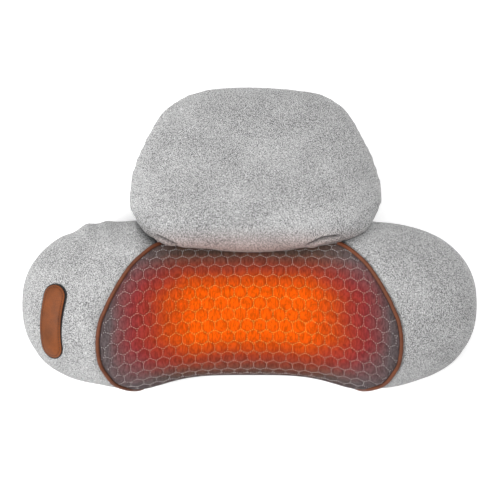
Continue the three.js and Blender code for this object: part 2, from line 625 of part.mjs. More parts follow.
// ---- mechanism ----
function addHousing() {
  const [bayHalf, bayEnd] = MOTOR_BAY;
  const wall = HOUSING_WALL;
  const outer = (z0, z1) => prism(housingPlan(HOUSING_RADIUS, bayHalf, bayEnd), z0, z1);
  const inner = (z0, z1) => prism(housingPlan(HOUSING_RADIUS - wall, bayHalf - wall, bayEnd + wall), z0, z1);
  let base = outer(HOUSING_FLOOR, HOUSING_SPLIT).subtract(inner(HOUSING_FLOOR + wall, HOUSING_SPLIT + 1));
  let cover = outer(HOUSING_SPLIT + FIT, HOUSING_TOP).subtract(inner(HOUSING_SPLIT, HOUSING_TOP - wall));
  for (const [x, y] of SCREW_PLACES) {
    base = base.add(cylinder(SCREW_BOSS_RADIUS, [x, y, HOUSING_FLOOR], [x, y, HOUSING_SPLIT], 14));
    cover = cover.add(cylinder(SCREW_BOSS_RADIUS, [x, y, HOUSING_SPLIT + FIT], [x, y, HOUSING_TOP], 14));
    const screwHole = SCREW_SHANK_RADIUS + FIT;
    base = base.subtract(cylinder(screwHole, [x, y, HOUSING_FLOOR + 3], [x, y, HOUSING_SPLIT + 1], 12));
    cover = cover.subtract(cylinder(screwHole, [x, y, HOUSING_SPLIT], [x, y, HOUSING_TOP + 1], 12));
  }
  for (const side of [-1, 1]) {
    const x = side * ROTOR_X;
    base = base.add(cylinder(BUSH_BOSS_RADIUS, [x, 0, HOUSING_FLOOR], [x, 0, LOWER_BUSH_TOP + 0.4]));
    base = base.subtract(cylinder(BUSH_SEAT_RADIUS, [x, 0, HOUSING_FLOOR + wall], [x, 0, LOWER_BUSH_TOP + 1]));
    cover = cover.add(cylinder(BUSH_BOSS_RADIUS, [x, 0, UPPER_BUSH_BOTTOM - 0.2], [x, 0, HOUSING_TOP]));
    cover = cover.subtract(cylinder(BUSH_SEAT_RADIUS, [x, 0, UPPER_BUSH_BOTTOM - 1], [x, 0, HOUSING_TOP + 1]));
  }
  base = base.add(box(-7, 7, BEARING_Y[0] - 0.2, BEARING_Y[1] + 0.2, HOUSING_FLOOR, BEARING_SEAT_TOP));
  const motorRoom = cylinder(MOTOR_RADIUS + FIT, [0, -60, DRIVE_Z], [0, -10, DRIVE_Z], 28);
  for (const [from, to] of CRADLES) {
    base = base.add(box(-bayHalf, bayHalf, from, to, HOUSING_FLOOR, CRADLE_TOP).subtract(motorRoom));
  }
  const leadGate = box(-HOUSING_RADIUS - ROTOR_X - 5, -60, -15, -9, 6, 12)
    .add(box(60, HOUSING_RADIUS + ROTOR_X + 5, -15, -9, 6, 12));
  addMesh('housing_base', fromSolid(base.subtract(leadGate)), 'black');
  addMesh('housing_cover', fromSolid(cover.subtract(box(-3, 3, -60, -50, 34, 38))), 'black');
  SCREW_PLACES.forEach(([x, y], i) => {
    const shank = cylinder(SCREW_SHANK_RADIUS, [x, y, HOUSING_FLOOR + 5], [x, y, HOUSING_TOP + FIT], 10);
    const headBottom = HOUSING_TOP + 0.2;
    const head = cylinder(SCREW_HEAD_RADIUS, [x, y, headBottom], [x, y, headBottom + SCREW_HEAD_HEIGHT], 12);
    addMesh(`housing_screw_${i + 1}`, fromSolid(shank.add(head)), 'steel');
  });
}

function wheelOutline() {
  const pitchAngle = 2 * Math.PI / WHEEL_TEETH;
  const halfAt = (radius) => (TOOTH_SHARE / 2 * WORM_PITCH
    - (radius - WHEEL_PITCH_RADIUS) * PRESSURE_SLOPE) / radius;
  const points = [];
  for (let tooth = 0; tooth < WHEEL_TEETH; tooth += 1) {
    const middle = tooth * pitchAngle;
    for (const [radius, sign] of [
      [WHEEL_ROOT_RADIUS, -1], [WHEEL_TIP_RADIUS, -1], [WHEEL_TIP_RADIUS, 1], [WHEEL_ROOT_RADIUS, 1]]) {
      const angle = middle + sign * halfAt(radius);
      points.push(new THREE.Vector2(radius * Math.cos(angle), radius * Math.sin(angle)));
    }
  }
  return points;
}

function wheelSolid() {
  const geometry = new THREE.ExtrudeGeometry(new THREE.Shape(wheelOutline()), {
    depth: WHEEL_THICKNESS, bevelEnabled: false, steps: 1,
  });
  geometry.translate(0, 0, -WHEEL_THICKNESS / 2);
  const positions = geometry.attributes.position;
  const twistPerMm = Math.tan(WORM_LEAD_ANGLE) / WHEEL_PITCH_RADIUS;
  for (let i = 0; i < positions.count; i += 1) {
    const point = new THREE.Vector3().fromBufferAttribute(positions, i);
    point.applyAxisAngle(new THREE.Vector3(0, 0, 1), twistPerMm * point.z);
    positions.setXYZ(i, ...point.toArray());
  }
  const hub = cylinder(8.5, [0, 0, -WHEEL_THICKNESS / 2 - 2], [0, 0, WHEEL_THICKNESS / 2 + 3], 20);
  const bore = cylinder(SHAFT_BORE, [0, 0, -20], [0, 0, 20], 20);
  return toSolid(geometry).add(hub).subtract(bore);
}

function placed(solid, turn, x, y, z) {
  const geometry = fromSolid(solid);
  geometry.rotateZ(turn);
  geometry.translate(x, y, z);
  return toSolid(geometry);
}

function nodeSolid(top) {
  const bottom = ARM_TOP + 0.2;
  const knob = lathe([
    [0, bottom], [8, bottom], [NODE_RADIUS, bottom + 3], [NODE_RADIUS, top - 10],
    [NODE_RADIUS - 1.2, top - 5], [NODE_RADIUS - 4.2, top - 1.5], [0, top],
  ], 18);
  return knob.add(cylinder(NODE_STEM_RADIUS, [0, 0, ARM_BOTTOM + 0.5], [0, 0, bottom + 1], 12));
}

function armSolid() {
  let arm = cylinder(9, [0, 0, ARM_BOTTOM], [0, 0, ARM_TOP])
    .add(box(-NODE_OFFSET, NODE_OFFSET, -5, 5, ARM_BOTTOM, ARM_TOP));
  for (const x of [-NODE_OFFSET, NODE_OFFSET]) {
    arm = arm.add(cylinder(8, [x, 0, ARM_BOTTOM], [x, 0, ARM_TOP], 18));
    arm = arm.subtract(cylinder(NODE_STEM_HOLE, [x, 0, 0], [x, 0, 90], 12));
  }
  return arm.subtract(cylinder(ARM_SCREW_HOLE, [0, 0, 0], [0, 0, 90], 12));
}

function addRotor(side, name) {
  const x = side * ROTOR_X;
  const armTurn = side * Math.PI / 3;
  const wheelTurn = side > 0 ? Math.PI / WHEEL_TEETH : 0;
  addMesh(`${name}_worm_wheel`, fromSolid(placed(wheelSolid(), wheelTurn, x, 0, DRIVE_Z)), 'nylon');
  const shaft = cylinder(SHAFT_RADIUS, [x, 0, HOUSING_FLOOR + 2.6], [x, 0, ARM_BOTTOM - 0.2], 20)
    .subtract(cylinder(ARM_SCREW_HOLE, [x, 0, ARM_BOTTOM - 12], [x, 0, ARM_BOTTOM + 1], 12));
  addMesh(`${name}_output_shaft`, fromSolid(shaft), 'steel');
  addMesh(`${name}_massage_arm`, fromSolid(placed(armSolid(), armTurn, x, 0, 0)), 'nylon');
  const dx = NODE_OFFSET * Math.cos(armTurn);
  const dy = NODE_OFFSET * Math.sin(armTurn);
  addMesh(`${name}_high_node`, fromSolid(placed(nodeSolid(NODE_HIGH_TOP), 0, x + dx, dy, 0)), 'node');
  addMesh(`${name}_low_node`, fromSolid(placed(nodeSolid(NODE_LOW_TOP), 0, x - dx, -dy, 0)), 'node');
  const screw = cylinder(ARM_SCREW_RADIUS, [x, 0, ARM_BOTTOM - 10], [x, 0, ARM_TOP + 0.4], 10)
    .add(cylinder(4, [x, 0, ARM_TOP + 0.2], [x, 0, ARM_TOP + 2.4], 14));
  addMesh(`${name}_arm_screw`, fromSolid(screw), 'steel');
  const bush = (z0, z1) => cylinder(BUSH_RADIUS, [x, 0, z0], [x, 0, z1], 20)
    .subtract(cylinder(SHAFT_BORE, [x, 0, z0 - 1], [x, 0, z1 + 1], 20));
  addMesh(`${name}_lower_bush`, fromSolid(bush(HOUSING_FLOOR + HOUSING_WALL + FIT, LOWER_BUSH_TOP)), 'bronze');
  addMesh(`${name}_upper_bush`, fromSolid(bush(UPPER_BUSH_BOTTOM, HOUSING_TOP - 0.2)), 'bronze');
}

function wormSolid() {
  const profile = [
    [WORM_ROOT_RADIUS - 1, -1], [WORM_TIP_RADIUS, -1], [WORM_TIP_RADIUS, 1], [WORM_ROOT_RADIUS - 1, 1]];
  const halfAt = (radius) => TOOTH_SHARE / 2 * WORM_PITCH - (radius - 7) * PRESSURE_SLOPE;
  const stepsPerTurn = 16;
  const rings = [];
  for (let i = 0; i <= WORM_TURNS * stepsPerTurn; i += 1) {
    const turn = 2 * Math.PI * (i / stepsPerTurn - WORM_TURNS / 2);
    rings.push(profile.map(([radius, sign]) => new THREE.Vector3(
      radius * Math.cos(turn), sign * halfAt(radius) + WORM_PITCH * turn / (2 * Math.PI),
      -radius * Math.sin(turn))));
  }
  const thread = ringBody(ringMiddle(rings[0]), rings, ringMiddle(rings.at(-1)));
  const root = cylinder(WORM_ROOT_RADIUS, [0, -12, 0], [0, 12, 0], 20);
  const journal = cylinder(JOURNAL_RADIUS, [0, 11, 0], [0, 19, 0], 14);
  const motorShaft = cylinder(MOTOR_SHAFT_RADIUS, [0, MOTOR_FRONT - 6, 0], [0, -11, 0], 12);
  const screwThread = thread.add(root).add(journal).add(motorShaft);
  return placed(screwThread, 0, 0, 0, DRIVE_Z);
}

function addDrive() {
  addMesh('worm_shaft', fromSolid(wormSolid()), 'steel');
  const bearing = box(-6, 6, ...BEARING_Y, BEARING_SEAT_TOP + FIT, DRIVE_Z + 6)
    .subtract(cylinder(JOURNAL_RADIUS + FIT, [0, 10, DRIVE_Z], [0, 24, DRIVE_Z], 14));
  addMesh('worm_end_bearing', fromSolid(bearing), 'bronze');
  const can = cylinder(MOTOR_RADIUS, [0, MOTOR_BACK, DRIVE_Z], [0, MOTOR_FRONT, DRIVE_Z], 28)
    .subtract(cylinder(2, [0, MOTOR_FRONT - 7, DRIVE_Z], [0, MOTOR_FRONT + 1, DRIVE_Z], 14));
  addMesh('motor_can', fromSolid(can), 'steel');
  const cap = cylinder(MOTOR_RADIUS - 0.6, [0, MOTOR_BACK - 3, DRIVE_Z], [0, MOTOR_BACK - FIT, DRIVE_Z], 28);
  addMesh('motor_end_cap', fromSolid(cap), 'nylon');
}

function addControlBoard() {
  addMesh('control_board', fromSolid(box(20, 50, 12.5, 27, 34.6, 36.2)), 'board');
  addMesh('driver_chip', fromSolid(box(24, 32, 16, 22, 32.6, 34.3)), 'black');
  addMesh('capacitor', fromSolid(cylinder(3, [44, 20, 29.4], [44, 20, 34.3], 14)), 'lead');
}

// ---- socket, zip and the leads inside ----
function addSocket() {
  const deep = SOCKET_BODY_LENGTH;
  const body = socketCylinder(SOCKET_BODY_RADIUS, -deep, 0.8, 20)
    .subtract(socketCylinder(SOCKET_BORE_RADIUS, 4 - deep, 3, 16))
    .add(socketCylinder(SOCKET_PIN_RADIUS, 3 - deep, -0.5, 10));
  addMesh('dc_socket', fromSolid(body), 'black');
  const bezel = socketCylinder(BEZEL_RADIUS, BEZEL_FROM, BEZEL_TO, 22)
    .subtract(socketCylinder(BEZEL_BORE, -2, 4, 20));
  addMesh('dc_socket_bezel', fromSolid(bezel), 'steel');
}

function addZip() {
  const half = ZIP_HALF_LENGTH;
  for (const [name, side] of [['upper', 1], ['lower', -1]]) {
    const near = ZIP_Y + side * 0.9;
    const coilEdge = ZIP_Y + side * 2.6;
    const far = ZIP_Y + side * ZIP_TAPE_REACH;
    const sewn = near + side * 0.5;
    const coil = box(-half, half, Math.min(near, coilEdge), Math.max(near, coilEdge), ...ZIP_COIL_Z);
    const tape = box(-half, half, Math.min(sewn, far), Math.max(sewn, far), ...ZIP_TAPE_Z);
    addMesh(`zip_tape_${name}`, fromSolid(coil.add(tape)), 'black');
  }
  const plate = (z0, z1) => box(...SLIDER_X, ZIP_Y - SLIDER_HALF_Y, ZIP_Y + SLIDER_HALF_Y, z0, z1);
  const web = box(SLIDER_X[0] + 3, SLIDER_X[1], ZIP_Y - 0.6, ZIP_Y + 0.6, 1, 4.4);
  const slider = plate(0.5, 1.4).add(plate(3.9, 4.8)).add(web);
  addMesh('zip_slider', fromSolid(slider), 'steel');
}

function buttonLeadPath() {
  return [[-172, -25, 70], [-168, -24, 50], [-160, -20, 24], [-140, -14, 11], [-110, -12, 9], [-62, -12, 9]];
}

function powerLeadPath() {
  return [socketPoint(-SOCKET_BODY_LENGTH - 1), [SOCKET_X - 6, -38, 20], [SOCKET_X - 12, -22, 12],
    [SOCKET_X - 36, -12, 9], [62, -12, 9]];
}

function leadSolid(path, radius) {
  return tube(path.map((point) => new THREE.Vector3(...point)), radius, 6, LEAD_STEPS);
}

function addLeads() {
  addMesh('button_lead', fromSolid(leadSolid(buttonLeadPath(), LEAD_RADIUS)), 'lead');
  addMesh('power_lead', fromSolid(leadSolid(powerLeadPath(), LEAD_RADIUS)), 'lead');
}

addBolsterCovers();
addFoam();
addCushion();
addHingeStrip();
addButton();
addHousing();
addRotor(-1, 'left');
addRotor(1, 'right');
addDrive();
addControlBoard();
addSocket();
addZip();
addLeads();

export default group;
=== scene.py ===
import json
import math
import bpy
import bmesh
import numpy as np
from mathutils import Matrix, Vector


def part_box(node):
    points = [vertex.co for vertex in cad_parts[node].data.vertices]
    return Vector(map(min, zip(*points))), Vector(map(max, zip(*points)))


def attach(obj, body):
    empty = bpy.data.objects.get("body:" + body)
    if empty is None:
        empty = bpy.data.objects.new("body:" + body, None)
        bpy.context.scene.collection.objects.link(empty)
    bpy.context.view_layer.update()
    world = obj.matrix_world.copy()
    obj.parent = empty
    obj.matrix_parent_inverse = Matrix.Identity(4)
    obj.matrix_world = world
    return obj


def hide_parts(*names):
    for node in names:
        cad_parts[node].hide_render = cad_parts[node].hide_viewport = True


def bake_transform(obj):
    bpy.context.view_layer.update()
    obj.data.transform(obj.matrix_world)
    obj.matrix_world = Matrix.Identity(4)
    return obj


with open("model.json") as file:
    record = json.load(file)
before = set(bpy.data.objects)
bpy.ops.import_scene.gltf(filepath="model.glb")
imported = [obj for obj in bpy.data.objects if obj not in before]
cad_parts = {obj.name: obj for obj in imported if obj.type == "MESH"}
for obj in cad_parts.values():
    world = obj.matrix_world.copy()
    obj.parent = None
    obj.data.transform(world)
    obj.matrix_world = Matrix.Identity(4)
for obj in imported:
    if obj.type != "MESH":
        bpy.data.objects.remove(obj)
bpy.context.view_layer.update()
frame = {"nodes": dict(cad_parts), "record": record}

MM = 0.001

# ---------------------------------------------------------------- the bolster's shape, in millimetres
HALF_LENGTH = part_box("right_wing_cover")[1].x / MM
HALF_HEIGHT = 83.0
CENTRE_Y = 2.5
MIDDLE_Z = 48.0
WING_RISE = 58.0
WAIST_RISE_LOSS = 14.0
FALL = 68.0
END_POWER, END_ROUNDING = 4.0, 0.43
WAIST_HALF_WIDTH, WAIST_BELOW, WAIST_ABOVE = 110.0, 16.0, 26.0
UPPER_POWER, LOWER_POWER = 2.3, 3.0
BASE_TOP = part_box("base_panel")[1].z / MM
OUTLINE = [(84, 60), (100, 50), (111, 39.5), (120, 27), (129, 11.5), (136, -3), (141, -16), (143.2, -34),
           (141, -53), (135, -64), (127, -73), (118, -76.6)]
PANEL_CORNER_X, PANEL_FOOT_X = 111.5, 96.0
CREASE_HALF, CREASE_Y, CREASE_RISE = 84.0, 54.0, 6.0
PIPING_RADIUS = 1.85
COVER_THICKNESS = 1.5
SIDE_NAMES = {-1: "left", 1: "right"}

HEX_PITCH = 12.2
HEX_ROW = HEX_PITCH * math.sqrt(3) / 2
HEX_SHIFT = (-2.2, -3.9)


def section(x):
    """The cross-section at x: its middle in Y, half its width, and its rise above and fall below MIDDLE_Z."""
    reach = np.clip(np.abs(x) / HALF_LENGTH, 0, 1)
    ending = (1 - reach ** END_POWER) ** END_ROUNDING
    near = np.clip(np.abs(x) / WAIST_HALF_WIDTH, 0, 1)
    waist = np.cos(np.pi / 2 * near ** 2) ** 2
    bottom = CENTRE_Y - HALF_HEIGHT * ending + WAIST_BELOW * waist
    top = CENTRE_Y + HALF_HEIGHT * ending - WAIST_ABOVE * waist
    rise = ending * (WING_RISE - WAIST_RISE_LOSS * waist)
    return (bottom + top) / 2, (top - bottom) / 2, rise, FALL * ending


def signed_power(value, power):
    return np.sign(value) * np.abs(value) ** power


def unit(vectors):
    return vectors / np.maximum(np.linalg.norm(vectors, axis=-1, keepdims=True), 1e-9)


def bell(value, centre, width):
    return np.exp(-((value - centre) / width) ** 2)


def smoothstep(value):
    value = np.clip(value, 0, 1)
    return value * value * (3 - 2 * value)


def bolster(x, turn):
    """The bolster's surface at x and the angle turn about X: 0 faces +Y, 90 degrees faces +Z."""
    x, turn = np.broadcast_arrays(np.asarray(x, float), np.asarray(turn, float))
    y0, half, rise, fall = section(x)
    sine, cosine = np.sin(turn), np.cos(turn)
    up = sine >= 0
    power = np.where(up, 2 / UPPER_POWER, 2 / LOWER_POWER)
    y = y0 + signed_power(cosine, power) * half
    z = MIDDLE_Z + signed_power(sine, power) * np.where(up, rise, fall)
    z = 0.5 * (z + np.sqrt(z * z + 4.0))
    return np.stack([x, y, z], -1)


def turn_of_front(x, y):
    y0, half, _, _ = section(np.asarray(x, float))
    across = np.clip((y - y0) / half, -1, 1)
    return np.arccos(signed_power(across, UPPER_POWER / 2))


def turn_of_low(x, z, side):
    """The angle of the lower half at height z, on the -Y side (side 1) or the +Y side (side -1)."""
    fall = section(np.asarray(x, float))[3]
    dip = np.arcsin(np.clip((MIDDLE_Z - z) / np.maximum(fall, 1e-6), 0, 1) ** (LOWER_POWER / 2))
    return np.pi + dip if side > 0 else -dip


def line_lengths(line):
    """The length along the line up to each of its points."""
    return np.concatenate([[0], np.linalg.norm(np.diff(line, axis=0), axis=1).cumsum()])


def smooth_line(points, per=16):
    """A Catmull-Rom line through the points."""
    p = np.array(points, float)
    p = np.vstack([2 * p[0] - p[1], p, 2 * p[-1] - p[-2]])
    t = np.linspace(0, 1, per, endpoint=False)[:, None]
    out = []
    for a, b, c, d in zip(p, p[1:], p[2:], p[3:]):
        out.append(0.5 * (2 * b + (c - a) * t + (2 * a - 5 * b + 4 * c - d) * t ** 2
                          + (3 * b - a - 3 * c + d) * t ** 3))
    return np.vstack(out + [p[-2][None]])


def resample_closed(line, count):
    """Count points at equal steps round a closed line in a plane."""
    keep = np.concatenate([[True], np.linalg.norm(np.diff(line, axis=0), axis=1) > 1e-6])
    line = line[keep]
    loop = np.vstack([line, line[:1]])
    at = line_lengths(loop)
    want = np.linspace(0, at[-1], count, endpoint=False)
    return np.stack([np.interp(want, at, loop[:, k]) for k in range(2)], 1)


def seam_line():
    """The right panel seam as (x, turn), from the crease to the base."""
    line = [(x, float(turn_of_front(x, y))) for x, y in OUTLINE]
    for z in (46, 34, 22, BASE_TOP + 0.6):
        x = PANEL_FOOT_X + (PANEL_CORNER_X - PANEL_FOOT_X) * (z - BASE_TOP) / (MIDDLE_Z - BASE_TOP)
        line.append((x, float(turn_of_low(x, z, 1))))
    return smooth_line(line)


SEAM = seam_line()


# ---------------------------------------------------------------- mesh helpers
# The point attribute that carries painted shade: it darkens the fabrics in creases, grooves and beside seams.
PAINTED_SHADE = "crease"


def new_object(name, verts, faces, smooth=True):
    mesh = bpy.data.meshes.new(name)
    mesh.from_pydata((np.asarray(verts) * MM).tolist(), [], faces)
    mesh.update()
    obj = bpy.data.objects.new(name, mesh)
    bpy.context.scene.collection.objects.link(obj)
    if smooth:
        mesh.polygons.foreach_set("use_smooth", [True] * len(mesh.polygons))
    return obj


def new_solid(name, verts, faces, smooth=True):
    """A closed object. Points that coincide are joined, and every face is turned outward."""
    obj = new_object(name, verts, faces, smooth)
    bm = bmesh.new()
    bm.from_mesh(obj.data)
    bmesh.ops.remove_doubles(bm, verts=bm.verts, dist=1e-5)
    bmesh.ops.dissolve_degenerate(bm, edges=bm.edges, dist=1e-7)
    bmesh.ops.recalc_face_normals(bm, faces=bm.faces)
    bm.to_mesh(obj.data)
    bm.free()
    obj.data.update()
    return obj


def grid_faces(rows, cols, start=0, flip=False, wrap=False):
    """The quads of a grid numbered row by row from start; wrap joins the last column to the first."""
    i, j = np.meshgrid(np.arange(rows - 1), np.arange(cols if wrap else cols - 1), indexing="ij")
    k = (j + 1) % cols
    quad = np.stack([i * cols + j, i * cols + k, (i + 1) * cols + k, (i + 1) * cols + j], -1).reshape(-1, 4)
    if flip:
        quad = quad[:, ::-1]
    return (quad + start).tolist()


def outward_normals(p, inside):
    """The unit normals of a grid of points, all turned away from the point inside."""
    normal = unit(np.cross(np.gradient(p, axis=0), np.gradient(p, axis=1)))
    return normal * np.sign(np.sum(normal * (p - np.array(inside)), -1, keepdims=True))


def rim_faces(loop_a, loop_b):
    return [[loop_a[i], loop_a[(i + 1) % len(loop_a)], loop_b[(i + 1) % len(loop_a)], loop_b[i]]
            for i in range(len(loop_a))]


def shell(name, outer, inner):
    """A closed skin between two grids of the same size."""
    rows, cols = outer.shape[:2]
    count = rows * cols
    index = np.arange(count).reshape(rows, cols)
    loop = list(index[0, :-1]) + list(index[:-1, -1]) + list(index[-1, :0:-1]) + list(index[:0:-1, 0])
    faces = grid_faces(rows, cols) + grid_faces(rows, cols, count, True)
    faces += rim_faces([int(i) for i in loop][::-1], [int(i) + count for i in loop][::-1])
    return new_solid(name, np.vstack([outer.reshape(-1, 3), inner.reshape(-1, 3)]), faces)


def read_vertices(mesh, field):
    """The vertices' co or normal as an array of rows."""
    values = np.empty(len(mesh.vertices) * 3)
    mesh.vertices.foreach_get(field, values)
    return values.reshape(-1, 3)


def write_painted_shade(obj, values):
    """Gives each point a value of 0 to 1, which the fabrics' materials turn into painted shade."""
    obj.data.attributes.new(PAINTED_SHADE, "FLOAT", "POINT").data.foreach_set("value", values)


def mark_by_nearest(obj, points, values):
    """Writes painted shade values, known at points, to the vertices that stand there; the others get 0."""
    key = {tuple(np.round(p * 100).astype(int)): float(value) for p, value in zip(points, values)}
    places = np.round(read_vertices(obj.data, "co") / MM * 100).astype(int)
    write_painted_shade(obj, [key.get(tuple(place), 0.0) for place in places])


def apply_modifiers(obj):
    graph = bpy.context.evaluated_depsgraph_get()
    mesh = bpy.data.meshes.new_from_object(obj.evaluated_get(graph))
    obj.modifiers.clear()
    obj.data = mesh


def cut_away(obj, cutter):
    """Takes the cutter's solid out of obj and deletes the cutter."""
    modifier = obj.modifiers.new("cut", "BOOLEAN")
    modifier.operation = "DIFFERENCE"
    modifier.object = cutter
    modifier.solver = "EXACT"
    apply_modifiers(obj)
    bpy.data.objects.remove(cutter)


def cut_prism(obj, low, high):
    """Cuts away the prism between two loops of points."""
    count = len(low)
    faces = grid_faces(2, count, wrap=True) + [list(range(count)), list(range(2 * count - 1, count - 1, -1))]
    cut_away(obj, new_solid("cutter", np.vstack([low, high]), faces, False))


def sweep(name, path, radius, sides=12):
    """A closed tube along path (n, 3), with radius per point or one for all."""
    path = np.asarray(path, float)
    tangent = unit(np.gradient(path, axis=0))
    normal = unit(np.cross(tangent[0], [0.3, 0.2, 1.0]))
    verts = []
    radius = np.broadcast_to(radius, len(path))
    for p, t, r in zip(path, tangent, radius):
        normal = unit(normal - t * normal.dot(t))
        side = np.cross(t, normal)
        for k in range(sides):
            a = 2 * math.pi * k / sides
            verts.append(p + r * (normal * math.cos(a) + side * math.sin(a)))
    faces = grid_faces(len(path), sides, wrap=True)
    verts += [path[0], path[-1]]
    last = (len(path) - 1) * sides
    faces += [[len(verts) - 2, (k + 1) % sides, k] for k in range(sides)]
    faces += [[len(verts) - 1, last + k, last + (k + 1) % sides] for k in range(sides)]
    return new_solid(name, verts, faces)


def wander(p, size, height, seed):
    """A smooth, seeded, low ripple over points p, for hand-filled fabric."""
    rng = np.random.default_rng(seed)
    out = np.zeros(p.shape[:-1])
    for _ in range(7):
        k = rng.normal(size=3)
        k *= 2 * math.pi / size / np.linalg.norm(k) * rng.uniform(0.6, 1.6)
        out += np.sin(p @ k + rng.uniform(0, 6.28))
    return height * out / math.sqrt(3.5)


# ---------------------------------------------------------------- materials
def srgb(*rgb):
    return [((c / 255 + 0.055) / 1.055) ** 2.4 if c > 10 else c / 255 / 12.92 for c in rgb]


class Nodes:
    """A short way to build a node material."""

    def __init__(self, name):
        self.material = bpy.data.materials.new(name)
        self.material.use_nodes = True
        self.tree = self.material.node_tree
        self.shader = self.tree.nodes["Principled BSDF"]

    def feed(self, socket, value):
        """Links the value to the socket where it is another node's output, and sets it otherwise."""
        if isinstance(value, bpy.types.NodeSocket):
            self.tree.links.new(value, socket)
        else:
            socket.default_value = value

    def add(self, kind, inputs=None, **settings):
        node = self.tree.nodes.new(kind)
        for key, value in settings.items():
            setattr(node, key, value)
        for key, value in (inputs or {}).items():
            self.feed(node.inputs[key], value)
        return node

    def math(self, operation, a, b=0.0, c=0.0, clamp=False):
        node = self.add("ShaderNodeMath", {0: a, 1: b, 2: c}, operation=operation, use_clamp=clamp)
        return node.outputs[0]

    def noise(self, vector, scale, detail=2.0, rough=0.5):
        return self.add("ShaderNodeTexNoise", {"Vector": vector, "Scale": scale, "Detail": detail,
                                              "Roughness": rough}).outputs["Fac"]

    def ramp(self, factor, stops):
        node = self.add("ShaderNodeValToRGB", {"Fac": factor})
        ramp = node.color_ramp
        while len(ramp.elements) < len(stops):
            ramp.elements.new(0.5)
        for element, (at, colour) in zip(ramp.elements, stops):
            element.position = at
            element.color = (*colour, 1)
        return node.outputs["Color"]

    def mix(self, factor, a, b, blend="MIX"):
        a, b = [c if isinstance(c, bpy.types.NodeSocket) else (*c, 1) for c in (a, b)]
        inputs = {0: factor, 6: a, 7: b}
        return self.add("ShaderNodeMix", inputs, data_type="RGBA", blend_type=blend).outputs[2]

    def set(self, **values):
        for key, value in values.items():
            self.feed(self.shader.inputs[key.replace("_", " ")], value)

    def bump(self, height, distance, strength):
        inputs = {"Height": height, "Distance": distance, "Strength": strength}
        return self.add("ShaderNodeBump", inputs).outputs["Normal"]

    def place(self):
        return self.add("ShaderNodeTexCoord").outputs["Object"]

    def xyz(self, vector):
        return self.add("ShaderNodeSeparateXYZ", {0: vector}).outputs

    def voronoi(self, vector, scale, **settings):
        node = self.add("ShaderNodeTexVoronoi", {"Vector": vector, "Scale": scale}, **settings)
        return node.outputs["Distance"]

    def mapping(self, vector, scale, rotation=(0.0, 0.0, 0.0)):
        inputs = {"Vector": vector, "Scale": scale, "Rotation": rotation}
        return self.add("ShaderNodeMapping", inputs).outputs["Vector"]

    # Reads the painted shade attribute.
    def crease(self):
        return self.add("ShaderNodeAttribute", attribute_name=PAINTED_SHADE).outputs["Fac"]


def melange_fabric(name, light=(220, 220, 220), dark=(50, 50, 51), warm=False):
    """Heather knit: dark and light fibres in flecks of half a millimetre, drawn out along a diagonal."""
    n = Nodes(name)
    place = n.place()
    flecks = n.noise(place, 1900, 2, 0.5)
    strand = n.mapping(place, scale=(1.0, 0.4, 0.9), rotation=(0.0, 0.0, 0.8))
    fibres = n.noise(strand, 2100, 2, 0.5)
    cloud = n.noise(place, 30, 3, 0.5)
    value = n.math("ADD", n.math("MULTIPLY", flecks, 0.6), n.math("MULTIPLY", fibres, 0.4))
    value = n.math("ADD", value, n.math("MULTIPLY", n.math("SUBTRACT", cloud, 0.5), 0.06))
    colour = n.ramp(value, [(0.43, srgb(*dark)), (0.57, srgb(*light))])
    # Painted light: with warm set, the heater's glow is painted on the cushion's lower lip as a pink tint.
    if warm:
        _, y, z = n.xyz(place)
        lip = n.add("ShaderNodeMapRange", {"Value": y, "From Min": 0.078, "From Max": 0.05},
                    interpolation_type="SMOOTHSTEP").outputs["Result"]
        front = n.math("MULTIPLY", n.math("SUBTRACT", z, 0.075), 100.0, clamp=True)
        glow_tinted = n.mix(1.0, colour, (0.80, 0.60, 0.55), "MULTIPLY")
        colour = n.mix(n.math("MULTIPLY", lip, front), colour, glow_tinted)
    # Painted shade: the fabric goes dark where the crease attribute is high, in creases and beside the
    # cushion's corners.
    colour = n.mix(n.math("MULTIPLY", n.crease(), 0.85), colour, (0.02, 0.018, 0.018))
    n.set(Base_Color=colour, Roughness=0.95, Normal=n.bump(fibres, 0.0005, 0.8), Sheen_Weight=0.15,
          Sheen_Roughness=0.5, Specular_IOR_Level=0.12)
    return n.material


def shaded(colour, share):
    return srgb(*[int(c * share) for c in colour])


def leather(name, colour, scale=1.0):
    """Smooth leather: a fine pebbled grain, darker in its pores, over soft blotches of tone."""
    n = Nodes(name)
    place = n.place()
    pores = n.voronoi(place, 900.0 * scale, feature="DISTANCE_TO_EDGE")
    grain = n.math("SMOOTH_MIN", pores, 0.25, 0.1)
    blotch = n.noise(place, 70, 4, 0.6)
    base = n.ramp(blotch, [(0.3, shaded(colour, 0.84)), (0.7, shaded(colour, 1.1))])
    deep = n.math("MULTIPLY", n.math("SUBTRACT", 0.12, grain, clamp=True), 3.0)
    base = n.mix(deep, base, shaded(colour, 0.62))
    rough = n.math("MULTIPLY_ADD", blotch, 0.22, 0.42)
    n.set(Base_Color=base, Roughness=rough, Normal=n.bump(grain, 0.00025, 0.8), Specular_IOR_Level=0.22)
    return n.material


def plastic(name, colour, rough):
    """Moulded plastic with a fine texture and a slightly uneven gloss."""
    n = Nodes(name)
    place = n.place()
    fine = n.noise(place, 2600, 2, 0.5)
    wide = n.noise(place, 60, 3, 0.5)
    base = n.mix(wide, shaded(colour, 0.94), srgb(*colour))
    n.set(Base_Color=base, Roughness=n.math("MULTIPLY_ADD", wide, 0.12, rough - 0.06),
          Normal=n.bump(fine, 0.00006, 0.5))
    return n.material


def metal(name, colour, rough=0.3):
    """Turned metal with fine lines round its axis."""
    n = Nodes(name)
    lines = n.noise(n.mapping(n.place(), scale=(1.0, 1.0, 14.0)), 420, 3, 0.6)
    base = n.mix(lines, shaded(colour, 0.88), srgb(*colour))
    n.set(Base_Color=base, Metallic=1.0, Roughness=n.math("MULTIPLY_ADD", lines, 0.2, rough - 0.08))
    return n.material


